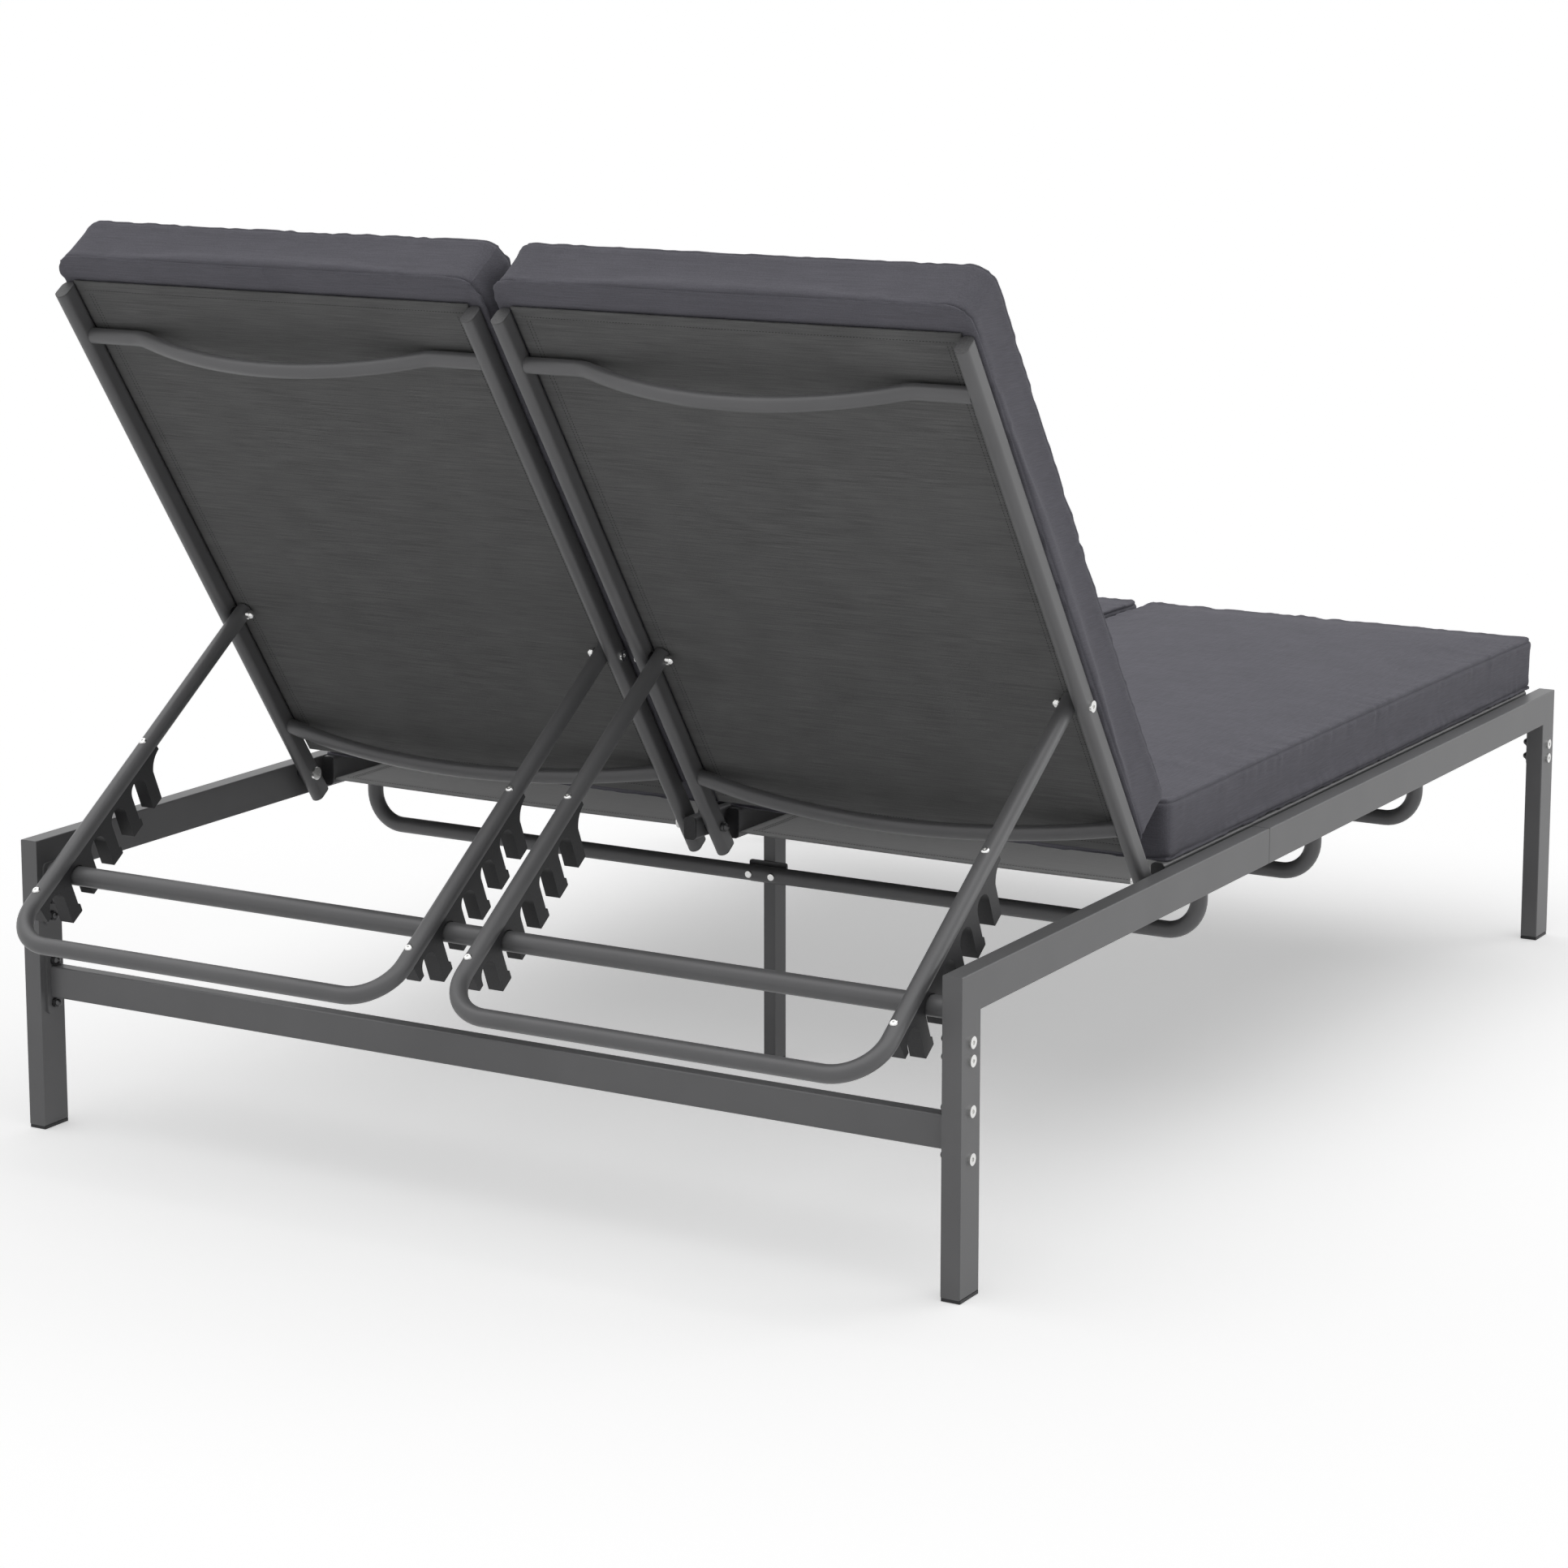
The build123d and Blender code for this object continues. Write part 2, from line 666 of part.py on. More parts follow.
def centre_leg():
    """The leg under the beam, with the plate that the head cross bar is riveted to."""
    plate_y = centre_leg_y + centre_leg_depth / 2
    with BuildPart() as leg:
        with BuildSketch(Plane.XY.offset(foot_cap_thickness)):
            with Locations((0, centre_leg_y)):
                RectangleRounded(seat_rail_width, centre_leg_depth, side_edge_radius)
                offset(amount=-seat_rail_wall, mode=Mode.SUBTRACT)
        extrude(amount=beam_bottom - foot_cap_thickness)
        with BuildSketch(Plane.XZ.offset(-plate_y)):
            with Locations((0, crossbar_height)):
                RectangleRounded(clip_plate_width, clip_plate_tall, side_edge_radius * 2)
                with Locations((clip_rivet_spacing / 2, 0), (-clip_rivet_spacing / 2, 0)):
                    Circle(rivet_diameter / 2 + hole_clearance, mode=Mode.SUBTRACT)
        extrude(amount=-clip_plate_thickness)
    return leg


def centre_leg_rivets():
    """Two rivets through the head cross bar and the centre leg's plate."""
    front_y = head_crossbar_y + crossbar_diameter / 2
    back_y = head_crossbar_y - crossbar_diameter / 2 - clip_plate_thickness
    spots = [(side * clip_rivet_spacing / 2, crossbar_height) for side in (1, -1)]
    with BuildPart() as rivets:
        with BuildSketch(Plane.XZ.offset(-back_y)):
            with Locations(*spots):
                Circle(rivet_diameter / 2)
        extrude(amount=-(front_y - back_y))
        with BuildSketch(Plane.XZ.offset(-front_y)):
            with Locations(*spots):
                Circle(rivet_head_diameter / 2)
        extrude(amount=-rivet_head_height)
        with BuildSketch(Plane.XZ.offset(-back_y)):
            with Locations(*spots):
                Circle(rivet_head_diameter / 2 - rivet_head_height)
        extrude(amount=rivet_head_height)
        fillet(rivets.faces().sort_by(Axis.Y)[-2:].edges(), radius=rivet_head_height / 2)
    return rivets


def seat_sling():
    """The flat woven sling between a seat's two rails."""
    top = seat_rail_top - seat_sling_drop
    length = seat_rail_length - 2 * sling_end_setback
    middle_y = seat_rail_foot_y + seat_rail_length / 2
    with BuildPart() as sling:
        with BuildSketch(Plane.XY.offset(top - sling_thickness)):
            with Locations((sling_middle_x, middle_y)):
                Rectangle(sling_width, length)
        extrude(amount=sling_thickness)
        for y in seat_bolt_ys:
            for x in (rail_inner_face, inner_rail_outer_face):
                radius = seat_bolt_head_diameter / 2 + running_gap
                drill_x(radius, x - seat_bolt_head_thickness, x, y, seat_rail_middle)
    return sling


def back_rail(x):
    """An obround backrest rail with its hinge hole and prop pivot hole."""
    with BuildPart() as rail:
        with BuildSketch(back_cross_plane(x, -back_rail_tail)):
            SlotOverall(back_rail_depth, back_rail_width, rotation=90)
            offset(amount=-back_rail_wall, mode=Mode.SUBTRACT)
        extrude(amount=back_rail_top + back_rail_tail)
        low, high = x - back_rail_width / 2, x + back_rail_width / 2
        drill_x(hinge_diameter / 2 + hinge_clearance, low, high, hinge_y, hinge_z)
        drill_x(pivot_bolt_diameter / 2 + hole_clearance, low, high, pivot_y, pivot_z)
    return rail


def back_rail_caps():
    """Rounded plastic caps on the ends of a backrest's two rails."""
    inset = back_rail_wall + plug_clearance
    with BuildPart() as caps:
        for x in (outer_rail_x, inner_rail_x):
            for along, outward in ((back_rail_top, 1), (-back_rail_tail, -1)):
                with BuildSketch(back_cross_plane(x, along)):
                    SlotOverall(back_rail_depth, back_rail_width, rotation=90)
                extrude(amount=outward * rail_cap_thickness)
                with BuildSketch(back_cross_plane(x, along)):
                    SlotOverall(
                        back_rail_depth - 2 * inset,
                        back_rail_width - 2 * inset,
                        rotation=90,
                    )
                extrude(amount=-outward * rail_cap_plug)
    return caps


def upper_bow_bar():
    """The upper back bar: straight stubs, soft kinks, then an arc bowed to the rear."""
    cross = back_cross_plane(0, upper_bow_along)
    half_span = sling_width / 2 - bow_stub
    turn = 2 * atan2(bow_depth, half_span)
    arc_radius = half_span / sin(turn) - bow_kink_radius
    kink_x = half_span - bow_kink_radius * sin(turn)
    kink_rear = bow_kink_radius * (1 - cos(turn))
    kink_mid_x = half_span - bow_kink_radius * sin(turn / 2)
    kink_mid_rear = bow_kink_radius * (1 - cos(turn / 2))
    middle = sling_middle_x
    with BuildPart() as bar:
        with BuildLine(cross):
            Line((rail_inner_face + overrun, 0), (middle + half_span, 0))
            ThreePointArc(
                (middle + half_span, 0),
                (middle + kink_mid_x, kink_mid_rear),
                (middle + kink_x, kink_rear),
            )
            ThreePointArc(
                (middle + kink_x, kink_rear),
                (middle, bow_depth),
                (middle - kink_x, kink_rear),
            )
            ThreePointArc(
                (middle - kink_x, kink_rear),
                (middle - kink_mid_x, kink_mid_rear),
                (middle - half_span, 0),
            )
            Line((middle - half_span, 0), (inner_rail_outer_face - overrun, 0))
        start = cross.from_local_coords((rail_inner_face + overrun, 0, 0))
        with BuildSketch(Plane(origin=start, z_dir=(-1, 0, 0))):
            Circle(bow_diameter / 2)
            Circle(bow_diameter / 2 - bow_wall, mode=Mode.SUBTRACT)
        sweep()
        split(bisect_by=Plane.YZ.offset(rail_inner_face), keep=Keep.BOTTOM)
        split(bisect_by=Plane.YZ.offset(inner_rail_outer_face), keep=Keep.TOP)
    return bar


def lower_bow_bar():
    """The lower back bar: one arc bowed to the rear."""
    cross = back_cross_plane(0, lower_bow_along)
    reach = sling_width / 2 + bow_diameter / 2
    end_rear = -bow_depth * (reach**2 / (sling_width / 2) ** 2 - 1)
    with BuildPart() as bar:
        with BuildLine(cross):
            arc = ThreePointArc(
                (sling_middle_x + reach, end_rear),
                (sling_middle_x, bow_depth),
                (sling_middle_x - reach, end_rear),
            )
        with BuildSketch(Plane(origin=arc @ 0, z_dir=arc % 0)):
            Circle(bow_diameter / 2)
            Circle(bow_diameter / 2 - bow_wall, mode=Mode.SUBTRACT)
        sweep()
        split(bisect_by=Plane.YZ.offset(rail_inner_face), keep=Keep.BOTTOM)
        split(bisect_by=Plane.YZ.offset(inner_rail_outer_face), keep=Keep.TOP)
    return bar


def back_sling():
    """The woven sling between a backrest's two rails."""
    middle = (back_sling_start + back_sling_end) / 2
    width = sling_width + 2 * back_sling_reach
    with BuildPart() as sling:
        with BuildSketch(back.offset(back_sling_rear)):
            with Locations((sling_middle_x, middle)):
                Rectangle(width, back_sling_end - back_sling_start)
        extrude(amount=sling_thickness)
    return sling


def prop_frame():
    """The U-shaped prop, hinged at its two upper ends."""
    with BuildPart() as frame:
        with BuildLine(prop):
            path = FilletPolyline(
                (outer_prop_x, -prop_tail),
                (outer_prop_x, prop_length),
                (inner_prop_x, prop_length),
                (inner_prop_x, -prop_tail),
                radius=prop_bend_radius,
            )
        with BuildSketch(Plane(origin=path @ 0, z_dir=(0, prop_cos, -prop_sin))):
            Circle(prop_diameter / 2)
            Circle(prop_diameter / 2 - prop_wall, mode=Mode.SUBTRACT)
        sweep()
        hole = pivot_bolt_diameter / 2 + hinge_clearance
        for x in (outer_prop_x, inner_prop_x):
            low, high = x - prop_diameter / 2, x + prop_diameter / 2
            drill_x(hole, low, high, pivot_y, pivot_z)
        with BuildSketch(prop.offset(-prop_diameter)):
            with Locations(*rivet_spots):
                Circle(rivet_diameter / 2 + hole_clearance)
        extrude(amount=2 * prop_diameter, mode=Mode.SUBTRACT)
        with BuildSketch(prop.offset(prop_diameter / 2 - rivet_head_sink)):
            with Locations(*rivet_spots):
                Circle(rivet_head_diameter / 2)
        extrude(amount=overrun, mode=Mode.SUBTRACT)
    return frame


def notch_places():
    """The centres of the notches' round tops: along the prop, and above it."""
    counts = range(notches_above_bar + 2)
    return [(first_notch_along + count * notch_pitch, notch_above) for count in counts]


def rack_outline():
    """Draw the rack's side view, still without its notches."""
    tip_run = (tooth_tip_offset + notch_above) * tan(radians(notch_lean))
    toe_along = last_notch_along + rack_toe_length
    top_along = rack_heel_along - rack_heel_radius
    heel = Line((rack_heel_along + tip_run, -tooth_tip_offset), (rack_heel_along, notch_above))
    upper = Line((top_along, -prop_diameter / 2), (top_along, -rack_top_drop))
    curve_middle_along = rack_heel_along - rack_heel_radius / 4
    curve_middle = (curve_middle_along, (notch_above - prop_diameter / 2) / 2)
    ThreePointArc(heel @ 1, curve_middle, upper @ 0)
    Polyline(
        upper @ 1,
        (toe_along, -rack_top_drop),
        (toe_along, -rack_toe_offset),
        (last_notch_along, -rack_toe_offset),
        (last_notch_along + tip_run, -tooth_tip_offset),
        heel @ 0,
    )


def prop_racks():
    """Notched racks riveted under both legs of a prop."""
    places = notch_places()
    mouth = tooth_tip_offset + notch_above
    with BuildPart() as racks:
        for x in (outer_prop_x, inner_prop_x):
            side = Plane(
                origin=prop.from_local_coords((x - rack_width / 2, 0, 0)),
                x_dir=(0, prop_cos, -prop_sin),
                z_dir=(1, 0, 0),
            )
            with BuildSketch(side) as profile:
                with BuildLine():
                    rack_outline()
                make_face()
                with Locations(*[Location((s, h, 0), (0, 0, notch_lean)) for s, h in places]):
                    Circle(notch_width / 2, mode=Mode.SUBTRACT)
                    Rectangle(
                        notch_width,
                        mouth - tooth_lip_height,
                        align=(Align.CENTER, Align.MAX),
                        mode=Mode.SUBTRACT,
                    )
                    with Locations((-tooth_lip / 2, 0)):
                        Rectangle(
                            notch_width - tooth_lip,
                            mouth + notch_width,
                            align=(Align.CENTER, Align.MAX),
                            mode=Mode.SUBTRACT,
                        )
                fillet(profile.vertices().group_by(Axis.Y)[0], radius=tooth_corner_radius)
            extrude(amount=rack_width)
            bore = Plane(origin=prop.from_local_coords((x, 0, 0)), z_dir=prop.y_dir)
            with BuildSketch(bore):
                Circle(prop_diameter / 2)
            extrude(amount=prop_length, mode=Mode.SUBTRACT)
        with BuildSketch(prop.offset(-rivet_shank_reach - hole_clearance)):
            with Locations(*rivet_spots):
                Circle(rivet_diameter / 2 + hole_clearance)
        extrude(amount=rivet_shank_reach, mode=Mode.SUBTRACT)
    return racks


def rack_rivets():
    """Two rivets through each leg of a prop, down into its rack."""
    head_bottom = prop_diameter / 2 - rivet_head_sink
    head_tall = rivet_head_sink + rivet_head_height
    with BuildPart() as rivets:
        with BuildSketch(prop.offset(-rivet_shank_reach)):
            with Locations(*rivet_spots):
                Circle(rivet_diameter / 2)
        extrude(amount=rivet_shank_reach + head_bottom)
        with BuildSketch(prop.offset(head_bottom)):
            with Locations(*rivet_spots):
                Circle(rivet_head_diameter / 2)
        extrude(amount=head_tall)
        rims = rivets.edges().filter_by(GeomType.CIRCLE).filter_by(
            lambda rim: abs(prop.to_local_coords(rim.center()).Z - head_bottom - head_tall) < overrun / 2
        )
        fillet(rims, radius=rivet_head_height - hole_clearance)
        with BuildSketch(prop.offset(head_bottom + head_tall - rivet_socket_depth)):
            with Locations(*rivet_spots):
                Circle(rivet_socket_diameter / 2)
        extrude(amount=rivet_socket_depth, mode=Mode.SUBTRACT)
    return rivets


def pivot_bolts():
    """Button-head bolts that hinge a prop to its backrest's two rails."""
    radius = pivot_bolt_diameter / 2
    runs = [
        (outer_rail_x + back_rail_width / 2, outer_prop_x - prop_diameter / 2, 1),
        (inner_rail_x - back_rail_width / 2, inner_prop_x + prop_diameter / 2, -1),
    ]
    with BuildPart() as bolts:
        for head_face, nut_face, outward in runs:
            end = nut_face - outward * (running_gap + nut_thickness / 2)
            rod_x(radius, head_face, end, pivot_y, pivot_z)
            head_end = head_face + outward * pivot_bolt_head_thickness
            rod_x(pivot_bolt_head_diameter / 2, head_face, head_end, pivot_y, pivot_z)
            with BuildSketch(Plane.YZ.offset(head_end)):
                with Locations((pivot_y, pivot_z)):
                    RegularPolygon(pivot_bolt_head_diameter * hex_socket_share / 2, 6)
            extrude(amount=-outward * hex_socket_depth, mode=Mode.SUBTRACT)
    return bolts


def pivot_nuts():
    """Domed nuts on the pivot bolts, inside the prop's legs."""
    with BuildPart() as nuts:
        for x, inward in ((outer_prop_x, -1), (inner_prop_x, 1)):
            face = x + inward * (prop_diameter / 2 + running_gap)
            dome_nut(face, inward, pivot_y, pivot_z, pivot_bolt_diameter / 2)
    return nuts


def pivot_washers():
    """Plastic washers between the backrest's rails and the prop's legs."""
    hole = pivot_bolt_diameter / 2 + hole_clearance
    outer_from = outer_rail_x - back_rail_width / 2
    inner_from = inner_rail_x + back_rail_width / 2
    thickness = pivot_washer - running_gap
    with BuildPart() as washers:
        spacer(outer_from - thickness, outer_from, pivot_y, pivot_z, hole)
        spacer(inner_from, inner_from + thickness, pivot_y, pivot_z, hole)
    return washers


def cushion_outline(half, crown):
    """Draw a cushion's section: flat below, round corners, a crowned top."""
    corner = cushion_edge_radius
    slant = corner * (1 - cos(radians(45)))
    high = cushion_thickness
    Line((corner - half, 0), (half - corner, 0))
    ThreePointArc((half - corner, 0), (half - slant, slant), (half, corner))
    Line((half, corner), (half, high - corner))
    ThreePointArc((half, high - corner), (half - slant, high - slant), (half - corner, high))
    ThreePointArc((half - corner, high), (0, high + crown), (corner - half, high))
    ThreePointArc((corner - half, high), (slant - half, high - slant), (-half, high - corner))
    Line((-half, high - corner), (-half, corner))
    ThreePointArc((-half, corner), (slant - half, slant), (corner - half, 0))


def cushion(place, length):
    """A boxed cushion: crowned top, sides drawn in at mid-length, rounded ends.

    The place's local x runs across, y along the cushion, and z through it.
    """
    x_low = cushion_middle_gap / 2
    x_high = outer_rail_x + seat_rail_width / 2 + cushion_side_overhang
    half = (x_high - x_low) / 2
    middle_x = (x_low + x_high) / 2
    stations = [
        (0, half, cushion_end_crown),
        (length / 2, half - cushion_draw_in, cushion_crown),
        (length, half, cushion_end_crown),
    ]
    with BuildPart() as pad:
        for along, wide, crown in stations:
            section = Plane(
                origin=place.from_local_coords((middle_x, along, 0)),
                x_dir=-place.x_dir,
                z_dir=place.y_dir,
            )
            with BuildSketch(section):
                with BuildLine():
                    cushion_outline(wide, crown)
                make_face()
        loft()
        ends = pad.faces().filter_by(GeomType.PLANE).sort_by(Axis(place.origin, place.y_dir))
        fillet(ends[0].edges() + ends[-1].edges(), radius=cushion_end_radius)
    return pad


def seat_cushion():
    """The long seat cushion, from the foot end to just below the backrest."""
    start = foot_end + seat_cushion_foot_setback
    end = hinge_y - seat_cushion_hinge_gap
    place = Plane(origin=(0, start, seat_rail_top + cushion_gap))
    return cushion(place, end - start)


def back_cushion():
    """The backrest cushion, on the sling and a little past the top of the rails."""
    place = Plane(
        origin=back.from_local_coords((0, back_cushion_start, back_rail_depth / 2 + cushion_gap)),
        x_dir=back.x_dir,
        z_dir=back.z_dir,
    )
    return cushion(place, back_cushion_end - back_cushion_start)


def save_all():
    """Make and write every sub-part."""
    save_pair("side_frame_head", side_frame_half(True))
    save_pair("side_frame_foot", side_frame_half(False))
    save("rail_sleeves", rail_sleeves())
    save("foot_caps", foot_caps())
    save("notch_bar", round_bar(bar_y, notch_bar_height))
    save("foot_cross_bar", round_bar(foot_bar_y, foot_bar_height))
    save("cross_bar_plates", bar_plates())
    save("head_cross_rail", head_cross_rail())
    save("leg_bolts", leg_bolts())
    save("frame_nuts", frame_nuts())
    for name, y in zip(("foot", "middle", "head"), crossbar_ys):
        save(f"seat_crossbar_{name}", seat_crossbar(y))
    save_pair("outer_seat_rail", seat_rail(outer_rail_x, rail_inner_face, side_inner))
    save_pair("inner_seat_rail", seat_rail(inner_rail_x, beam_half, inner_rail_outer_face))
    save("centre_beam", centre_beam())
    save("rail_end_caps", rail_end_caps())
    save("seat_rail_bolts", seat_rail_bolts())
    save("centre_rail_bolts", centre_rail_bolts())
    save("frame_spacers", frame_spacers())
    save("hinge_bolts", hinge_bolts())
    save("centre_hinge_bolt", centre_hinge_bolt())
    save("centre_leg", centre_leg())
    save("centre_leg_rivets", centre_leg_rivets())
    save_pair("seat_sling", seat_sling())
    save_pair("outer_back_rail", back_rail(outer_rail_x))
    save_pair("inner_back_rail", back_rail(inner_rail_x))
    save_pair("back_rail_caps", back_rail_caps())
    save_pair("upper_bow_bar", upper_bow_bar())
    save_pair("lower_bow_bar", lower_bow_bar())
    save_pair("back_sling", back_sling())
    save_pair("prop_frame", prop_frame())
    save_pair("prop_racks", prop_racks())
    save_pair("rack_rivets", rack_rivets())
    save_pair("pivot_bolts", pivot_bolts())
    save_pair("pivot_nuts", pivot_nuts())
    save_pair("pivot_washers", pivot_washers())
    save_pair("seat_cushion", seat_cushion())
    save_pair("back_cushion", back_cushion())


save_all()
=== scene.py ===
"""The looks of the double chaise lounger: cushions, slings, seams, paint and studio."""

import json
import math

import bpy
import numpy as np
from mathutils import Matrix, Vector


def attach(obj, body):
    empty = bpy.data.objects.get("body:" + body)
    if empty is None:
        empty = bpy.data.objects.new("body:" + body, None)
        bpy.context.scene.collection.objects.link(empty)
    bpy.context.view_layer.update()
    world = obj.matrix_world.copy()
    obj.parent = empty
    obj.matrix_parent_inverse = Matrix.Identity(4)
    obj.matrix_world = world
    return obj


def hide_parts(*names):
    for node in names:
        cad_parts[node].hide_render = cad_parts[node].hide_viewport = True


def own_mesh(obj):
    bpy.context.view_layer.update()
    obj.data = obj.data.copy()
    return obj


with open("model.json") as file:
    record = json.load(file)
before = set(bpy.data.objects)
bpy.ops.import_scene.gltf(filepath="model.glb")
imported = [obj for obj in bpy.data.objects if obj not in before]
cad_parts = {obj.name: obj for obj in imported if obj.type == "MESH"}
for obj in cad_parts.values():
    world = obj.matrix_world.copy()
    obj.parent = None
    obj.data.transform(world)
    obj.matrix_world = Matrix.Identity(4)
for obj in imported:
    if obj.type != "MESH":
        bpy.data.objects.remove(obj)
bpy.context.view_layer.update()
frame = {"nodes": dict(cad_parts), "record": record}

# Camera: the photograph's viewing angle, in metres, degrees and millimetres
CAMERA_PLACE = (-2.71055, 4.82043, 1.56568)
CAMERA_YAW = 30.0586
CAMERA_PITCH = 10.1678
CAMERA_LENS = 93.979
CAMERA_SHIFT_Y = -0.1
CAMERA_SENSOR = 36.0

# Places shared with the frame, in metres
OUTER_RAIL_X = 0.6353
INNER_RAIL_X = 0.0216
RAIL_WIDTH = 0.018
BACK_RAIL_DEPTH = 0.03
HINGE_Y = 0.35068
HINGE_Z = 0.367
BACK_ANGLE = math.radians(55.5)
FOOT_END = -1.02152
SEAT_RAIL_TOP = 0.382
SIDE_RAIL_X = 0.6633
SIDE_RAIL_Z = 0.3565
SIDES = (("left", 1.0), ("right", -1.0))

# Painted shade around each side rail where its two halves meet: a fine dark line, a thin ring
# given by its half sizes
SEAM_BEFORE_HINGE = 0.2955
SEAM_Y = HINGE_Y - SEAM_BEFORE_HINGE
SEAM_SHADE_WIDTH = 0.0009
SEAM_SHADE_OUTER = (0.0126, 0.0236)
SEAM_SHADE_INNER = (0.0118, 0.0228)

# Cushions
PAD_INNER_X = 0.0062
PAD_OUTER_X = 0.6482
PAD_THICKNESS = 0.079
PAD_CROWN = 0.005
PAD_DRAW_IN = 0.004
PAD_EDGE = 0.0072
SEAT_PAD_CORNERS = (0.02, 0.014)
BACK_PAD_CORNERS = (0.014, 0.032)
PAD_STEP = 0.0085
PAD_RIM_LINES = (0.0, 0.003, 0.0068, 0.0118, 0.0185)
PAD_SWELL = 0.005
PAD_LIFT = 0.0006
PAD_FOOT_SETBACK = 0.008
SEAT_HINGE_GAP = 0.047
SEAT_PAD_START = FOOT_END + PAD_FOOT_SETBACK
SEAT_PAD_END = HINGE_Y - SEAT_HINGE_GAP
BACK_PAD_START = 0.055
BACK_PAD_END = 0.906
SEAT_SEED = 11
BACK_SEED = 21

# How steeply the crown falls at the sides and at the ends, how much of the drawn-in
# side is left at its edges, and how much less the ends are drawn in than the sides
CROWN_POWER_ACROSS = 2.6
CROWN_POWER_ALONG = 5
BELLY_EDGE_SHARE = 0.45
END_DRAW_SHARE = 0.7

# Simulation: the cover is held where it lies on the frame, and its seams shrink
HELD_BELOW = 0.0012
ON_SEAM = 0.0001
SEAM_BAND_SHARE = 0.8
SIMULATED_STEPS = 20
CLOTH_SETTINGS = {
    "quality": 4,
    "mass": 0.25,
    "tension_stiffness": 30,
    "compression_stiffness": 12,
    "shear_stiffness": 8,
    "bending_stiffness": 0.12,
    "use_pressure": True,
    "uniform_pressure_force": 4.0,
    "shrink_min": 0.0,
    "shrink_max": 0.07,
    "vertex_group_shrink": "seam",
    "vertex_group_mass": "held",
}

# Seams along the boxing: the pressed line, and the puffed cloth beside it
ON_RIM = 0.0005
SEAM_DROP = 0.0032
SEAM_DEPTH = 0.0019
SEAM_HALF_WIDTH = 0.0018
PUFF_HEIGHT = 0.0008
PUFF_PLACE = 0.008
PUFF_WIDTH = 0.006

# Gathers along the seams: their pitch and heights, how far they run down the boxing
# and over the top, and how much of them is left on the seam line itself
GATHER_PITCH = 0.0105
GATHER_TOP = 0.0032
GATHER_BOTTOM = 0.0016
GATHER_CLEAR = 0.0065
GATHER_SEAM_SHARE = 0.25
GATHER_FINE_SHARE = 0.85
GATHER_COARSE_SHARE = 0.25
GATHER_CALM_SHARE = 0.3
GATHER_SIDE_REACH = 0.014
GATHER_TOP_REACH = 0.018
GATHER_TOP_SHARE = 0.8
DRAG_TOP = 0.0014
DRAG_REACH = 0.045

# How many fine gathers make one drag line, one coarse gather and one patch
DRAG_GATHERS = 2
COARSE_GATHERS = 3
PATCH_GATHERS = 8
FEWEST_PATCHES = 6

# Slings, with hems folded double along their sides and ends
SLING_THICKNESS = 0.0011
SLING_HEM = 0.024
SLING_END_HEM = 0.0164
SLING_DOUBLED = 1.9
SLING_EDGE_LINE = 0.003
SLING_END_LINE = 0.0006
HEM_STEP_IN = 0.0012
HEM_STEP_OUT = 0.0004
HEM_SLACK = 0.0005
END_STEP = 0.0004
SLING_FIRST_COLUMN = 0.01
SLING_FIRST_ROW = 0.03
SLING_COLUMNS = 40
SLING_ROWS = 60
SAG_END_SHARE = 0.55
SEAT_SLING_SETBACK = 0.0407
SEAT_SLING_START = FOOT_END + SEAT_SLING_SETBACK
SEAT_SLING_END = HINGE_Y - SEAT_HINGE_GAP
SEAT_SLING_Z = 0.3502
SEAT_SAG = 0.004
BACK_SLING_N = 0.0127
BACK_SLING_START = 0.036
BACK_SLING_END = 0.866
BACK_SAG = 0.0015

# Stitches of the slings' hems: their size and pitch, and where their rows lie
STITCH_LENGTH = 0.0032
STITCH_WIDTH = 0.0007
STITCH_HEIGHT = 0.0005
STITCH_PITCH = 0.0042
STITCH_TOP_SHARE = 0.6
STITCH_SUNK_SHARE = 0.95
SIDE_ROWS_IN = (0.003, 0.008)
SIDE_ROW_START = 0.02
END_ROW = 0.0135
END_ROW_START = 0.012

# Studio: how far the floor is lifted toward white where it is seen, the level of
# the surround, and the soft lamps, each with the direction it stands in
WHITE = (1, 1, 1, 1)
FLOOR_SIZE = 900
FLOOR_BELOW = 0.0005
FLOOR_TONE = 0.93
FLOOR_ROUGHNESS = 0.9
FLOOR_LIFT = 0.43
WORLD_LEVEL = 0.1
LAMP_DISTANCE = 3
LAMPS = [
    ("top_lamp", (0.05, 0.08, 1.0), 90.0, 1.52),
    ("side_lamp", (-0.68, -0.73, 0.2), 34.0, 0.5),
]

# Looks in general: the detail of noise, and the stops between a dark and a light tone
COARSE_DETAIL = 2.0
FINE_DETAIL = 3.0
TONE_STOPS = (0.3, 0.7)

# Powder coat, with grain per metre, tones as shares of the colour, and bump heights
PAINT_GREY = (0.185, 0.185, 0.189)
PAINT_METALLIC = 0.1
PAINT_ROUGHNESS = 0.4
PAINT_SPECULAR = 0.35
PAINT_DRIFT = 9.0
PAINT_TONE_SHARES = (0.95, 1.05)
PAINT_GLOSS_SWING = 0.03
PEEL_GRAIN = 900.0
PEEL_STRENGTH = 0.12
PEEL_HEIGHT = 0.0004

# Moulded plastic and sewing thread
PLASTIC_BLACK = (0.028, 0.028, 0.03)
PLASTIC_GREY = (0.15, 0.15, 0.152)
PLASTIC_ROUGHNESS = 0.5
PLASTIC_SPECULAR = 0.4
PLASTIC_GRAIN = 450.0
PLASTIC_TONE_SHARES = (0.85, 1.15)
PLASTIC_GRAIN_STRENGTH = 0.2
PLASTIC_GRAIN_HEIGHT = 0.0003
THREAD_BLACK = (0.04, 0.04, 0.043)
THREAD_ROUGHNESS = 0.7

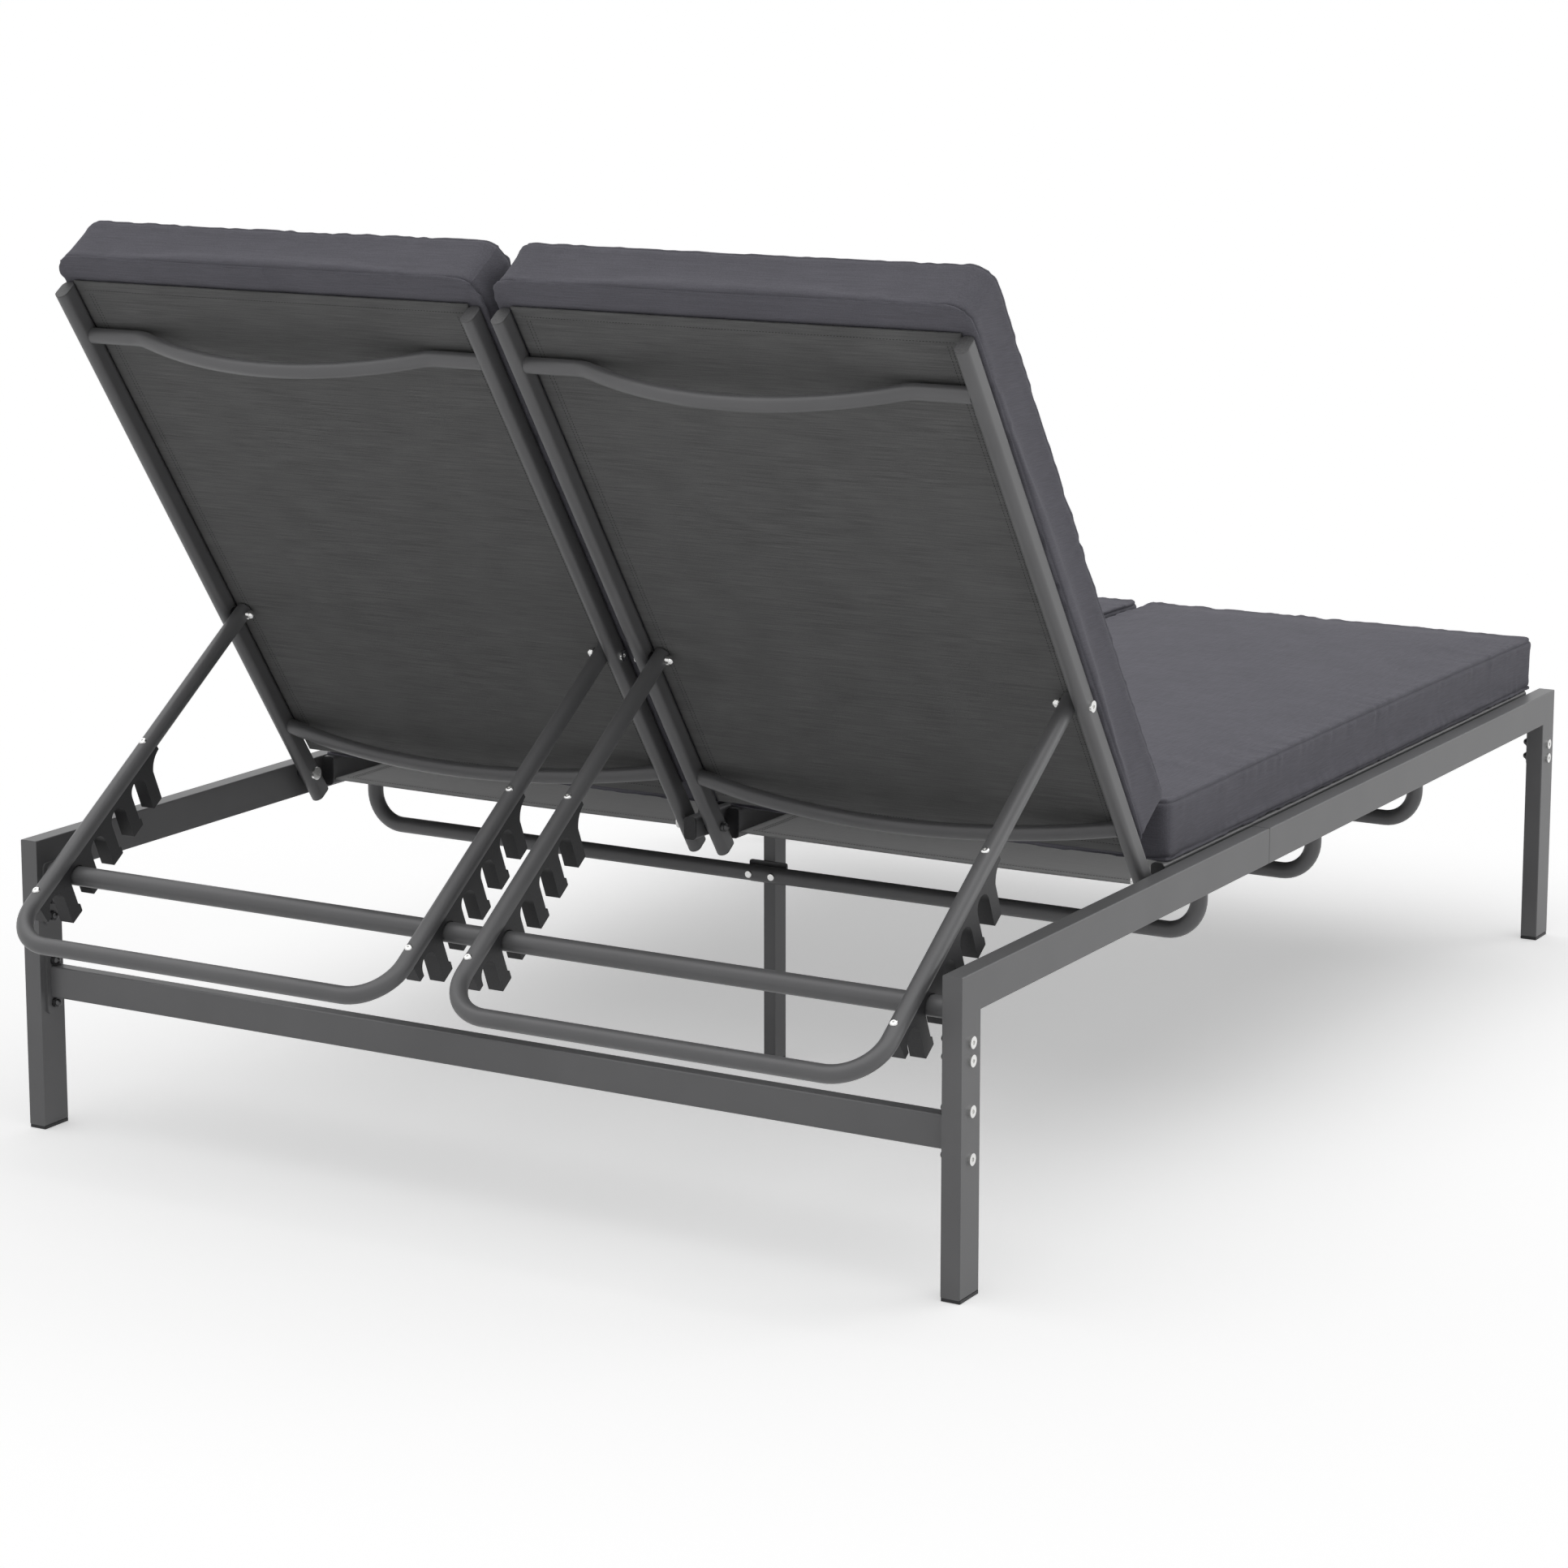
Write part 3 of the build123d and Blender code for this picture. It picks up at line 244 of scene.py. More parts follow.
# Bare steel, scratched around its turned faces
STEEL_BRIGHT = (0.78, 0.78, 0.77)
STEEL_ROUGHNESS = 0.24
STEEL_DARK = (0.09, 0.09, 0.092)
STEEL_DARK_ROUGHNESS = 0.4
STEEL_STREAKS = 600.0
STEEL_STRETCH = (1, 1, 6)
STEEL_TONE_SHARES = (0.88, 1.08)
STEEL_GLOSS_SWING = 0.06

# Cloth: colours, spread of tone, size of a thread and depth of the weave
CUSHION_GREY = (0.174, 0.171, 0.196)
CUSHION_SPREAD = 0.16
CUSHION_THREAD = 0.0011
CUSHION_DEPTH = 0.0002
CUSHION_SHEEN = 0.06
EVEN_WEFT_SHARE = 0.5
SLING_GREY = (0.2, 0.2, 0.2)
SLING_SPREAD = 0.24
SLING_THREAD = 0.0014
SLING_DEPTH = 0.0003
SLING_SHEEN = 0.0
SLING_WEFT_SHARE = 0.7
SEAT_LIGHT_SHARE = 0.5
BACK_LIGHT_SHARE = 0.15
LIGHT_THROUGH = (0.9, 0.9, 0.9, 1)
CLOTH_STOPS = (0.36, 0.64)
WARP_RUN = 28
WEFT_RUN = 45
BLOTCHES = 14.0
BLOTCH_SHARE = 0.16
WAVE_TURN = 6.3
WAVE_DISTORTION = 0.6
WEAVE_STRENGTH = 0.35
SLUB_STRENGTH = 0.5
CLOTH_ROUGHNESS = 0.88
CLOTH_SPECULAR = 0.12
SHEEN_ROUGHNESS = 0.5


class Graph:
    """A material with its node tree, and short calls to add nodes to it."""

    def __init__(self, name):
        self.material = bpy.data.materials.new(name)
        self.material.use_nodes = True
        self.tree = self.material.node_tree
        self.shader = self.tree.nodes["Principled BSDF"]

    def node(self, kind, **inputs):
        """Add a node, its settings and sockets given by name."""
        made = self.tree.nodes.new(kind)
        for name, value in inputs.items():
            if hasattr(made, name):
                setattr(made, name, value)
            else:
                made.inputs[name.replace("_", " ")].default_value = value
        return made

    def link(self, a, a_socket, b, b_socket):
        self.tree.links.new(a.outputs[a_socket], b.inputs[b_socket])

    def finish(self, **sockets):
        """Set sockets of the shader itself, given by name."""
        for name, value in sockets.items():
            self.shader.inputs[name.replace("_", " ")].default_value = value

    def place(self, scale=(1, 1, 1), turn_x=0.0):
        """Object coordinates, turned about X and scaled."""
        source = self.node("ShaderNodeTexCoord")
        mapping = self.node("ShaderNodeMapping")
        mapping.inputs["Rotation"].default_value = (turn_x, 0, 0)
        mapping.inputs["Scale"].default_value = scale
        self.link(source, "Object", mapping, "Vector")
        return mapping

    def noise(self, mapping, scale, detail):
        made = self.node("ShaderNodeTexNoise", Scale=scale, Detail=detail)
        self.link(mapping, "Vector", made, "Vector")
        return made

    def tint(self, source, socket, stops, colour, shares):
        """The base colour, from a dark to a light tone of the colour."""
        made = self.node("ShaderNodeValToRGB")
        for element, stop, share in zip(made.color_ramp.elements, stops, shares):
            element.position = stop
            element.color = (*(channel * share for channel in colour), 1)
        self.link(source, socket, made, "Fac")
        self.link(made, "Color", self.shader, "Base Color")

    def vary_gloss(self, source, roughness, swing):
        """Let the roughness swing about its mean with the source."""
        gloss = self.node("ShaderNodeMapRange")
        gloss.inputs["To Min"].default_value = roughness - swing
        gloss.inputs["To Max"].default_value = roughness + swing
        self.link(source, "Fac", gloss, "Value")
        self.link(gloss, "Result", self.shader, "Roughness")

    def bump(self, source, socket, strength, distance, after=None):
        made = self.node("ShaderNodeBump", Strength=strength, Distance=distance)
        self.link(source, socket, made, "Height")
        if after is not None:
            self.link(after, "Normal", made, "Normal")
        self.link(made, "Normal", self.shader, "Normal")
        return made

    def scaled(self, source, share):
        """The source's value times a share, with a third socket to add to it."""
        made = self.node("ShaderNodeMath", operation="MULTIPLY_ADD")
        made.inputs[1].default_value = share
        made.inputs[2].default_value = 0
        self.link(source, "Fac", made, 0)
        return made


def painted(name, colour, metallic, roughness):
    """Powder coat: fine orange peel, and a faint drift in tone and gloss."""
    g = Graph(name)
    place = g.place()
    drift = g.noise(place, PAINT_DRIFT, FINE_DETAIL)
    g.tint(drift, "Fac", TONE_STOPS, colour, PAINT_TONE_SHARES)
    g.vary_gloss(drift, roughness, PAINT_GLOSS_SWING)
    g.finish(Metallic=metallic, Specular_IOR_Level=PAINT_SPECULAR)
    peel = g.noise(place, PEEL_GRAIN, COARSE_DETAIL)
    g.bump(peel, "Fac", PEEL_STRENGTH, PEEL_HEIGHT)
    return g.material


def moulded(name, colour, roughness):
    """Moulded plastic with a fine grain."""
    g = Graph(name)
    grain = g.noise(g.place(), PLASTIC_GRAIN, FINE_DETAIL)
    g.tint(grain, "Fac", TONE_STOPS, colour, PLASTIC_TONE_SHARES)
    g.finish(Roughness=roughness, Specular_IOR_Level=PLASTIC_SPECULAR)
    g.bump(grain, "Fac", PLASTIC_GRAIN_STRENGTH, PLASTIC_GRAIN_HEIGHT)
    return g.material


def bare_metal(name, colour, roughness):
    """Turned steel with faint scratches."""
    g = Graph(name)
    streaks = g.noise(g.place(scale=STEEL_STRETCH), STEEL_STREAKS, COARSE_DETAIL)
    g.tint(streaks, "Fac", TONE_STOPS, colour, STEEL_TONE_SHARES)
    g.vary_gloss(streaks, roughness, STEEL_GLOSS_SWING)
    g.finish(Metallic=1.0)
    return g.material


def woven(name, colour, spread, thread, turn_x, depth, sheen, weft_share):
    """Cloth of two crossing threads, each a little streaky along its own length."""
    g = Graph(name)
    count = 1 / thread
    warp_scale = (count, count / WARP_RUN, count)
    weft_scale = (count / WEFT_RUN, count, count)
    warp = g.noise(g.place(scale=warp_scale, turn_x=turn_x), 1.0, COARSE_DETAIL)
    weft = g.noise(g.place(scale=weft_scale, turn_x=turn_x), 1.0, COARSE_DETAIL)
    blotch = g.noise(g.place(turn_x=turn_x), BLOTCHES, FINE_DETAIL)
    threads = 1 - BLOTCH_SHARE
    total = g.scaled(blotch, BLOTCH_SHARE)
    for source, share in ((warp, 1 - weft_share), (weft, weft_share)):
        more = g.scaled(source, threads * share)
        g.link(total, "Value", more, 2)
        total = more
    g.tint(total, "Value", CLOTH_STOPS, colour, (1 - spread, 1 + spread))
    waves = []
    for direction in ("X", "Y"):
        wave = g.node("ShaderNodeTexWave", wave_type="BANDS", bands_direction=direction)
        wave.inputs["Scale"].default_value = count / WAVE_TURN
        wave.inputs["Distortion"].default_value = WAVE_DISTORTION
        g.link(g.place(turn_x=turn_x), "Vector", wave, "Vector")
        waves.append(wave)
    weave = g.node("ShaderNodeMath", operation="MAXIMUM")
    g.link(waves[0], "Fac", weave, 0)
    g.link(waves[1], "Fac", weave, 1)
    threads_bump = g.bump(weave, "Value", WEAVE_STRENGTH, depth)
    g.bump(total, "Value", SLUB_STRENGTH, depth * 2, after=threads_bump)
    g.finish(Roughness=CLOTH_ROUGHNESS, Specular_IOR_Level=CLOTH_SPECULAR)
    g.finish(Sheen_Weight=sheen, Sheen_Roughness=SHEEN_ROUGHNESS)
    return g.material


def let_through(material, share):
    """Let a share of the light pass through an open-meshed cloth."""
    tree = material.node_tree
    output = tree.nodes["Material Output"]
    behind = tree.nodes.new("ShaderNodeBsdfTranslucent")
    behind.inputs["Color"].default_value = LIGHT_THROUGH
    mix = tree.nodes.new("ShaderNodeMixShader")
    mix.inputs["Fac"].default_value = share
    tree.links.new(tree.nodes["Principled BSDF"].outputs["BSDF"], mix.inputs[1])
    tree.links.new(behind.outputs["BSDF"], mix.inputs[2])
    tree.links.new(mix.outputs["Shader"], output.inputs["Surface"])


def cushion_cloth(name, turn_x):
    return woven(
        name, CUSHION_GREY, CUSHION_SPREAD, CUSHION_THREAD, turn_x, CUSHION_DEPTH,
        CUSHION_SHEEN, EVEN_WEFT_SHARE,
    )


def sling_mesh(name, turn_x, light_share):
    made = woven(
        name, SLING_GREY, SLING_SPREAD, SLING_THREAD, turn_x, SLING_DEPTH,
        SLING_SHEEN, SLING_WEFT_SHARE,
    )
    let_through(made, light_share)
    return made


PAINT = painted("frame_paint", PAINT_GREY, PAINT_METALLIC, PAINT_ROUGHNESS)
BLACK_PLASTIC_AND_SEAM_SHADE = moulded("black_plastic", PLASTIC_BLACK, PLASTIC_ROUGHNESS)
GREY_PLASTIC = moulded("grey_plastic", PLASTIC_GREY, PLASTIC_ROUGHNESS)
STEEL = bare_metal("bare_steel", STEEL_BRIGHT, STEEL_ROUGHNESS)
DARK_STEEL = bare_metal("dark_steel", STEEL_DARK, STEEL_DARK_ROUGHNESS)
SEAT_CLOTH = cushion_cloth("seat_cushion_cloth", 0.0)
BACK_CLOTH = cushion_cloth("back_cushion_cloth", -BACK_ANGLE)
SEAT_MESH = sling_mesh("seat_sling_mesh", 0.0, SEAT_LIGHT_SHARE)
BACK_MESH = sling_mesh("back_sling_mesh", -BACK_ANGLE, BACK_LIGHT_SHARE)
THREAD = moulded("sewing_thread", THREAD_BLACK, THREAD_ROUGHNESS)

SLOT_LOOKS = {
    "frame_paint": PAINT,
    "black_plastic": BLACK_PLASTIC_AND_SEAM_SHADE,
    "bare_steel": STEEL,
    "sling_fabric": SEAT_MESH,
    "cushion_fabric": SEAT_CLOTH,
}


def dress_frame():
    """Give every CAD node the look of its slot in the record."""
    slots = {part["node"]: part["material_slot"] for part in frame["record"]["subparts"]}
    for name, node in frame["nodes"].items():
        look = SLOT_LOOKS[slots[name]]
        if name == "frame_nuts":
            look = DARK_STEEL
        if name.endswith("back_rail_caps"):
            look = GREY_PLASTIC
        node.data.materials.clear()
        node.data.materials.append(look)


def to_back(points):
    """Turn rows of local points into places on the backrest."""
    run = points[:, 1] * math.cos(BACK_ANGLE) - points[:, 2] * math.sin(BACK_ANGLE)
    rise = points[:, 1] * math.sin(BACK_ANGLE) + points[:, 2] * math.cos(BACK_ANGLE)
    return np.stack([points[:, 0], HINGE_Y + run, HINGE_Z + rise], axis=1)


def mesh_object(name, points, faces, material):
    """A smooth mesh object from rows of points and faces."""
    mesh = bpy.data.meshes.new(name)
    mesh.from_pydata([tuple(p) for p in points], [], [tuple(f) for f in faces])
    mesh.materials.append(material)
    mesh.polygons.foreach_set("use_smooth", [True] * len(mesh.polygons))
    mesh.update()
    made = bpy.data.objects.new(name, mesh)
    bpy.context.collection.objects.link(made)
    return made


def read_points(mesh):
    flat = np.empty(len(mesh.vertices) * 3)
    mesh.vertices.foreach_get("co", flat)
    return flat.reshape(-1, 3)


def box_grid(counts):
    """Whole-number points on the skin of a box, and its outward quads."""
    nx, ny, nz = counts
    index = {}
    points = []
    faces = []

    def vertex(i, j, k):
        key = (i, j, k)
        if key not in index:
            index[key] = len(points)
            points.append(key)
        return index[key]

    def patch(corner, n, m):
        for a in range(n):
            for b in range(m):
                near = [corner(a, b), corner(a + 1, b)]
                far = [corner(a + 1, b + 1), corner(a, b + 1)]
                faces.append(near + far)

    patch(lambda a, b: vertex(a, b, nz), nx, ny)
    patch(lambda a, b: vertex(b, a, 0), ny, nx)
    patch(lambda a, b: vertex(nx, a, b), ny, nz)
    patch(lambda a, b: vertex(0, b, a), nz, ny)
    patch(lambda a, b: vertex(b, ny, a), nz, nx)
    patch(lambda a, b: vertex(a, 0, b), nx, nz)
    return np.array(points), faces


def pad_lines(size):
    """Grid lines across a cushion: close at both rims, even between them."""
    last = PAD_RIM_LINES[-1]
    count = max(2, round((size - 2 * last) / PAD_STEP))
    middle = np.linspace(last, size - last, count + 1)
    far = [size - line for line in PAD_RIM_LINES[::-1]]
    return np.concatenate([PAD_RIM_LINES[:-1], middle, far[1:]])


def pad_form(flat, size, corners):
    """The foam's shape: rounded corners and edges, crowned top, sides drawn in."""
    plan, high = flat[:, :2], flat[:, 2]
    plan_size, thickness = size[:2], size[2]
    corner = np.where(plan[:, 1:] < plan_size[1] / 2, *corners)
    into = np.maximum(corner - np.minimum(plan, plan_size - plan), 0)
    rim = corner[:, 0] - into.max(axis=1)
    spread = np.linalg.norm(into, axis=1, keepdims=True)
    signs = np.where(plan > plan_size / 2, 1.0, -1.0)
    toward = into / np.where(spread > 0, spread, 1) * signs
    flank = np.stack([rim, high], axis=1)
    low, top = [PAD_EDGE, PAD_EDGE], [max(corners), thickness - PAD_EDGE]
    core = np.clip(flank, low, top)
    bent = flank - core
    reach = np.linalg.norm(bent, axis=1, keepdims=True)
    flank = core + bent / np.where(reach > 0, reach, 1) * PAD_EDGE
    inner = np.clip(plan, corner, plan_size - corner)
    points = np.empty_like(flat)
    points[:, :2] = inner + toward * (corner - flank[:, :1])
    points[:, 2] = flank[:, 1]
    u, v = (points[:, :2] / plan_size * 2 - 1).T
    level = points[:, 2] / thickness
    crown_across = 1 - np.abs(u) ** CROWN_POWER_ACROSS
    crown_along = 1 - np.abs(v) ** CROWN_POWER_ALONG
    points[:, 2] += PAD_CROWN * crown_across * crown_along * level**2
    bulge = 1 - (2 * level - 1) ** 2
    belly = BELLY_EDGE_SHARE + (1 - BELLY_EDGE_SHARE) * bulge
    points[:, 0] -= u * PAD_DRAW_IN * (1 - v**2) * belly
    points[:, 1] -= v * PAD_DRAW_IN * END_DRAW_SHARE * (1 - u**2) * belly
    return points


def simulate(made, rest, seam, cap):
    """Swell the cover over its foam, its seams sewn a little short."""
    group = made.vertex_groups.new(name="seam")
    for i in np.flatnonzero(seam):
        group.add([int(i)], 1.0, "REPLACE")
    held = made.vertex_groups.new(name="held")
    for i in np.flatnonzero(rest[:, 2] < HELD_BELOW):
        held.add([int(i)], 1.0, "REPLACE")
    cloth = made.modifiers.new("Cloth", "CLOTH")
    for name, value in CLOTH_SETTINGS.items():
        setattr(cloth.settings, name, value)
    cloth.settings.effector_weights.gravity = 0.0
    cloth.point_cache.frame_start = 1
    cloth.point_cache.frame_end = SIMULATED_STEPS
    for step in range(1, SIMULATED_STEPS + 1):
        bpy.context.scene.frame_set(step)
    evaluated = made.evaluated_get(bpy.context.evaluated_depsgraph_get())
    moved = read_points(evaluated.data) - rest
    made.modifiers.remove(cloth)
    made.vertex_groups.clear()
    bpy.context.scene.frame_set(1)
    amount = np.linalg.norm(moved, axis=1, keepdims=True)
    return rest + moved * np.minimum(1, cap / np.where(amount > 0, amount, cap))


def subdivided(mesh_points, faces, kind="CATMULL_CLARK"):
    """One subdivision step on a closed mesh: its new points and quads."""
    mesh = bpy.data.meshes.new("work")
    mesh.from_pydata([tuple(p) for p in mesh_points], [], faces)
    work = bpy.data.objects.new("work", mesh)
    bpy.context.collection.objects.link(work)
    modifier = work.modifiers.new("Subdivision", "SUBSURF")
    modifier.levels = 1
    modifier.subdivision_type = kind
    fine = work.evaluated_get(bpy.context.evaluated_depsgraph_get()).data
    points = read_points(fine)
    quads = [tuple(p.vertices) for p in fine.polygons]
    bpy.data.objects.remove(work)
    bpy.data.meshes.remove(mesh)
    return points, quads


def hash_noise(rng, count, places):
    """Smooth random values along a line: count knots from 0 to 1, at places 0 to 1."""
    knots = rng.uniform(-1, 1, count + 3)
    t = np.clip(places, 0, 1) * count
    i = np.floor(t).astype(int)
    f = t - i
    f = f * f * (3 - 2 * f)
    return knots[i] * (1 - f) + knots[i + 1] * f


def normals_of(points, faces):
    """A unit normal at each point of a mesh of quads."""
    quads = np.array(faces)
    a = points[quads[:, 2]] - points[quads[:, 0]]
    b = points[quads[:, 3]] - points[quads[:, 1]]
    face = np.cross(a, b)
    total = np.zeros_like(points)
    for corner in range(4):
        np.add.at(total, quads[:, corner], face)
    length = np.linalg.norm(total, axis=1, keepdims=True)
    return total / np.where(length > 0, length, 1)


def hump(distance, width):
    return np.exp(-((distance / width) ** 2))


def sewn(points, flat, faces, size, seed):
    """Press the boxing's seams into the cover and gather the cloth along them."""
    rng = np.random.default_rng(seed)
    width, length, thickness = size
    outward = normals_of(points, faces)
    x, y, z = flat.T
    to_side = np.minimum(x, width - x)
    to_end = np.minimum(y, length - y)
    near_end = to_end < to_side
    rim = np.minimum(to_side, to_end)
    lap = np.where(near_end, x / width, y / length)
    edge_id = np.where(near_end, (y > length / 2) * 1 + 2, (x > width / 2) * 1)
    edge_lengths = (length, length, width, width)
    offset = np.zeros(len(points))
    for level, height in ((1.0, GATHER_TOP), (0.0, GATHER_BOTTOM)):
        drop = np.abs(z - thickness * level)
        distance = np.where(rim < ON_RIM, drop - SEAM_DROP, -rim - SEAM_DROP)
        away = np.abs(distance)
        on_side = distance > 0
        offset -= SEAM_DEPTH * hump(distance, SEAM_HALF_WIDTH)
        offset += PUFF_HEIGHT * hump(away - PUFF_PLACE, PUFF_WIDTH)
        clear = np.clip(away / GATHER_CLEAR, 0, 1)
        seam_calm = GATHER_SEAM_SHARE + (1 - GATHER_SEAM_SHARE) * clear
        side_fade = np.exp(-away / GATHER_SIDE_REACH) * on_side
        top_fade = np.exp(-away / GATHER_TOP_REACH) * ~on_side
        gather_fade = side_fade + GATHER_TOP_SHARE * top_fade
        drag_fade = np.exp(-away / DRAG_REACH) * (1 - top_fade)
        for edge, edge_length in enumerate(edge_lengths):
            here = edge_id == edge
            count = int(edge_length / GATHER_PITCH)
            fine = hash_noise(rng, count, lap)
            coarse = hash_noise(rng, count // COARSE_GATHERS, lap)
            patches = hash_noise(rng, max(FEWEST_PATCHES, count // PATCH_GATHERS), lap)
            lively = np.clip(1 / 2 + patches, 0, 1)
            strength = GATHER_CALM_SHARE + (1 - GATHER_CALM_SHARE) * lively
            pleat = GATHER_FINE_SHARE * fine + GATHER_COARSE_SHARE * coarse
            gather = height * pleat * strength * seam_calm * gather_fade
            offset += np.where(here, gather, 0)
            drag = hash_noise(rng, count // DRAG_GATHERS, lap) * strength
            dragged = here & (level > 0) & ~on_side
            offset += np.where(dragged, DRAG_TOP * drag * drag_fade, 0)
    return points + outward * offset[:, None]


def cushion(name, node, body, width, length, corners, place, material, seed):
    """One boxed cushion, simulated, sewn and put in its place."""
    size = np.array([width, length, PAD_THICKNESS])
    lines = [pad_lines(side) for side in size]
    cells, faces = box_grid([len(row) - 1 for row in lines])
    flat = np.stack([row[cells[:, axis]] for axis, row in enumerate(lines)], axis=1)
    shaped = pad_form(flat, size, corners)
    rim = np.minimum(flat[:, :2], size[:2] - flat[:, :2]).min(axis=1)
    to_seam = np.abs(np.minimum(flat[:, 2], size[2] - flat[:, 2]) - SEAM_DROP)
    seam = (rim < ON_SEAM) & (to_seam < SEAM_DROP * SEAM_BAND_SHARE)
    made = mesh_object(name, shaped, faces, material)
    shaped = simulate(made, shaped, seam, PAD_SWELL)
    bpy.data.objects.remove(made)
    fine_flat, _ = subdivided(flat, faces, "SIMPLE")
    fine_points, fine_faces = subdivided(shaped, faces)
    fine_points = sewn(fine_points, fine_flat, fine_faces, size, seed)
    made = mesh_object(name, place(fine_points), fine_faces, material)
    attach(made, body)
    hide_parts(node)
    return made


def cushions():
    """The two seat cushions and the two backrest cushions."""
    width = PAD_OUTER_X - PAD_INNER_X
    seat_length = SEAT_PAD_END - SEAT_PAD_START
    back_length = BACK_PAD_END - BACK_PAD_START
    for number, (side, sign) in enumerate(SIDES):
        start_x = PAD_INNER_X if sign > 0 else -PAD_OUTER_X

        def on_seat(points, start_x=start_x):
            return points + np.array([start_x, SEAT_PAD_START, SEAT_RAIL_TOP + PAD_LIFT])

        def on_back(points, start_x=start_x):
            above = BACK_RAIL_DEPTH / 2 + PAD_LIFT
            return to_back(points + np.array([start_x, BACK_PAD_START, above]))

        cushion(
            f"{side}_seat_pad", f"{side}_seat_cushion", "base", width, seat_length,
            SEAT_PAD_CORNERS, on_seat, SEAT_CLOTH, SEAT_SEED + number,
        )
        made = cushion(
            f"{side}_back_pad", f"{side}_back_cushion", f"{side}_backrest", width,
            back_length, BACK_PAD_CORNERS, on_back, BACK_CLOTH, BACK_SEED + number,
        )
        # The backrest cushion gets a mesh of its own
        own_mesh(made)


def sagged(x, y, width, length, sag):
    """How far a sling hangs down at a place: most in the middle, none at its sides."""
    u, v = 2 * x / width - 1, 2 * y / length - 1
    return sag * (1 - u * u) * (1 - SAG_END_SHARE * v**4)


def sling_lines(first, inset, size, count):
    """Grid lines across a sling: the first ones from both ends, even between them."""
    middle = list(np.linspace(inset, size - inset, count))
    return first + middle + [size - line for line in first[::-1]]


def sling(name, node, body, x_low, x_high, length, place, material, sag):
    """A stretched sling: hems folded double along its sides and ends."""
    width = x_high - x_low
    hem_lines = [0, SLING_EDGE_LINE, SLING_HEM - HEM_STEP_IN, SLING_HEM + HEM_STEP_OUT]
    end_lines = [0, SLING_END_LINE, SLING_END_HEM - END_STEP, SLING_END_HEM + END_STEP]
    xs = sling_lines(hem_lines, SLING_HEM + SLING_FIRST_COLUMN, width, SLING_COLUMNS)
    ys = sling_lines(end_lines, SLING_FIRST_ROW, length, SLING_ROWS)
    top, bottom = [], []
    for y in ys:
        for x in xs:
            on_side = min(x, width - x) < SLING_HEM - HEM_SLACK
            doubled = on_side or min(y, length - y) < SLING_END_HEM
            half = SLING_THICKNESS / 2 * (SLING_DOUBLED if doubled else 1.0)
            down = sagged(x, y, width, length, sag)
            top.append((x_low + x, y, half - down))
            bottom.append((x_low + x, y, -half - down))
    columns, rows = len(xs), len(ys)
    points = np.array(top + bottom)
    under = len(top)
    faces = []
    for j in range(rows - 1):
        for i in range(columns - 1):
            a, b = j * columns + i, j * columns + i + 1
            c, d = b + columns, a + columns
            faces.append((a, b, c, d))
            faces.append((under + d, under + c, under + b, under + a))
    for i in range(columns - 1):
        a, b = i, i + 1
        faces.append((under + a, under + b, b, a))
        a, b = (rows - 1) * columns + i, (rows - 1) * columns + i + 1
        faces.append((a, b, under + b, under + a))
    for j in range(rows - 1):
        a, b = j * columns, (j + 1) * columns
        faces.append((a, b, under + b, under + a))
        a, b = a + columns - 1, b + columns - 1
        faces.append((under + a, under + b, b, a))
    made = mesh_object(name, place(points), faces, material)
    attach(made, body)
    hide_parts(node)
    threads = stitches(f"{name}_stitches", width, length, x_low, sag, place)
    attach(threads, body)
    return made


def stitches(name, width, length, x_low, sag, place):
    """Double rows of stitches along the hems, on both faces of the cloth."""
    points, faces = [], []
    square = ((-1, -1), (1, -1), (1, 1), (-1, 1))
    quads = [(4, 5, 6, 7), (0, 1, 5, 4), (1, 2, 6, 5), (2, 3, 7, 6), (3, 0, 4, 7)]

    def stitch(x, y, size_x, size_y):
        down = sagged(x, y, width, length, sag)
        for face in (1, -1):
            level = face * SLING_THICKNESS * STITCH_SUNK_SHARE - down
            first = len(points)
            for rise, share in ((-1, 1), (1, STITCH_TOP_SHARE)):
                for dx, dy in square:
                    corner_x = x_low + x + dx * size_x / 2 * share
                    corner_y = y + dy * size_y / 2 * share
                    points.append((corner_x, corner_y, level + rise * face * STITCH_HEIGHT / 2))
            for quad in quads:
                order = quad if face > 0 else quad[::-1]
                faces.append(tuple(first + k for k in order))

    for row in SIDE_ROWS_IN:
        inset = SLING_HEM - row
        for y in np.arange(SIDE_ROW_START, length - SIDE_ROW_START, STITCH_PITCH):
            stitch(inset, y, STITCH_WIDTH, STITCH_LENGTH)
            stitch(width - inset, y, STITCH_WIDTH, STITCH_LENGTH)
    for x in np.arange(END_ROW_START, width - END_ROW_START, STITCH_PITCH):
        stitch(x, END_ROW, STITCH_LENGTH, STITCH_WIDTH)
        stitch(x, length - END_ROW, STITCH_LENGTH, STITCH_WIDTH)
    return mesh_object(name, place(np.array(points)), faces, THREAD)


def slings():
    """The two seat slings and the two backrest slings."""
    low = INNER_RAIL_X + RAIL_WIDTH / 2
    high = OUTER_RAIL_X - RAIL_WIDTH / 2

    def on_seat(points):
        return points + np.array([0, SEAT_SLING_START, SEAT_SLING_Z])

    def on_back(points):
        return to_back(points + np.array([0, BACK_SLING_START, BACK_SLING_N]))

    for side, sign in SIDES:
        x_low, x_high = (low, high) if sign > 0 else (-high, -low)
        sling(
            f"{side}_seat_cloth", f"{side}_seat_sling", "base", x_low, x_high,
            SEAT_SLING_END - SEAT_SLING_START, on_seat, SEAT_MESH, SEAT_SAG,
        )
        sling(
            f"{side}_back_cloth", f"{side}_back_sling", f"{side}_backrest", x_low, x_high,
            BACK_SLING_END - BACK_SLING_START, on_back, BACK_MESH, BACK_SAG,
        )


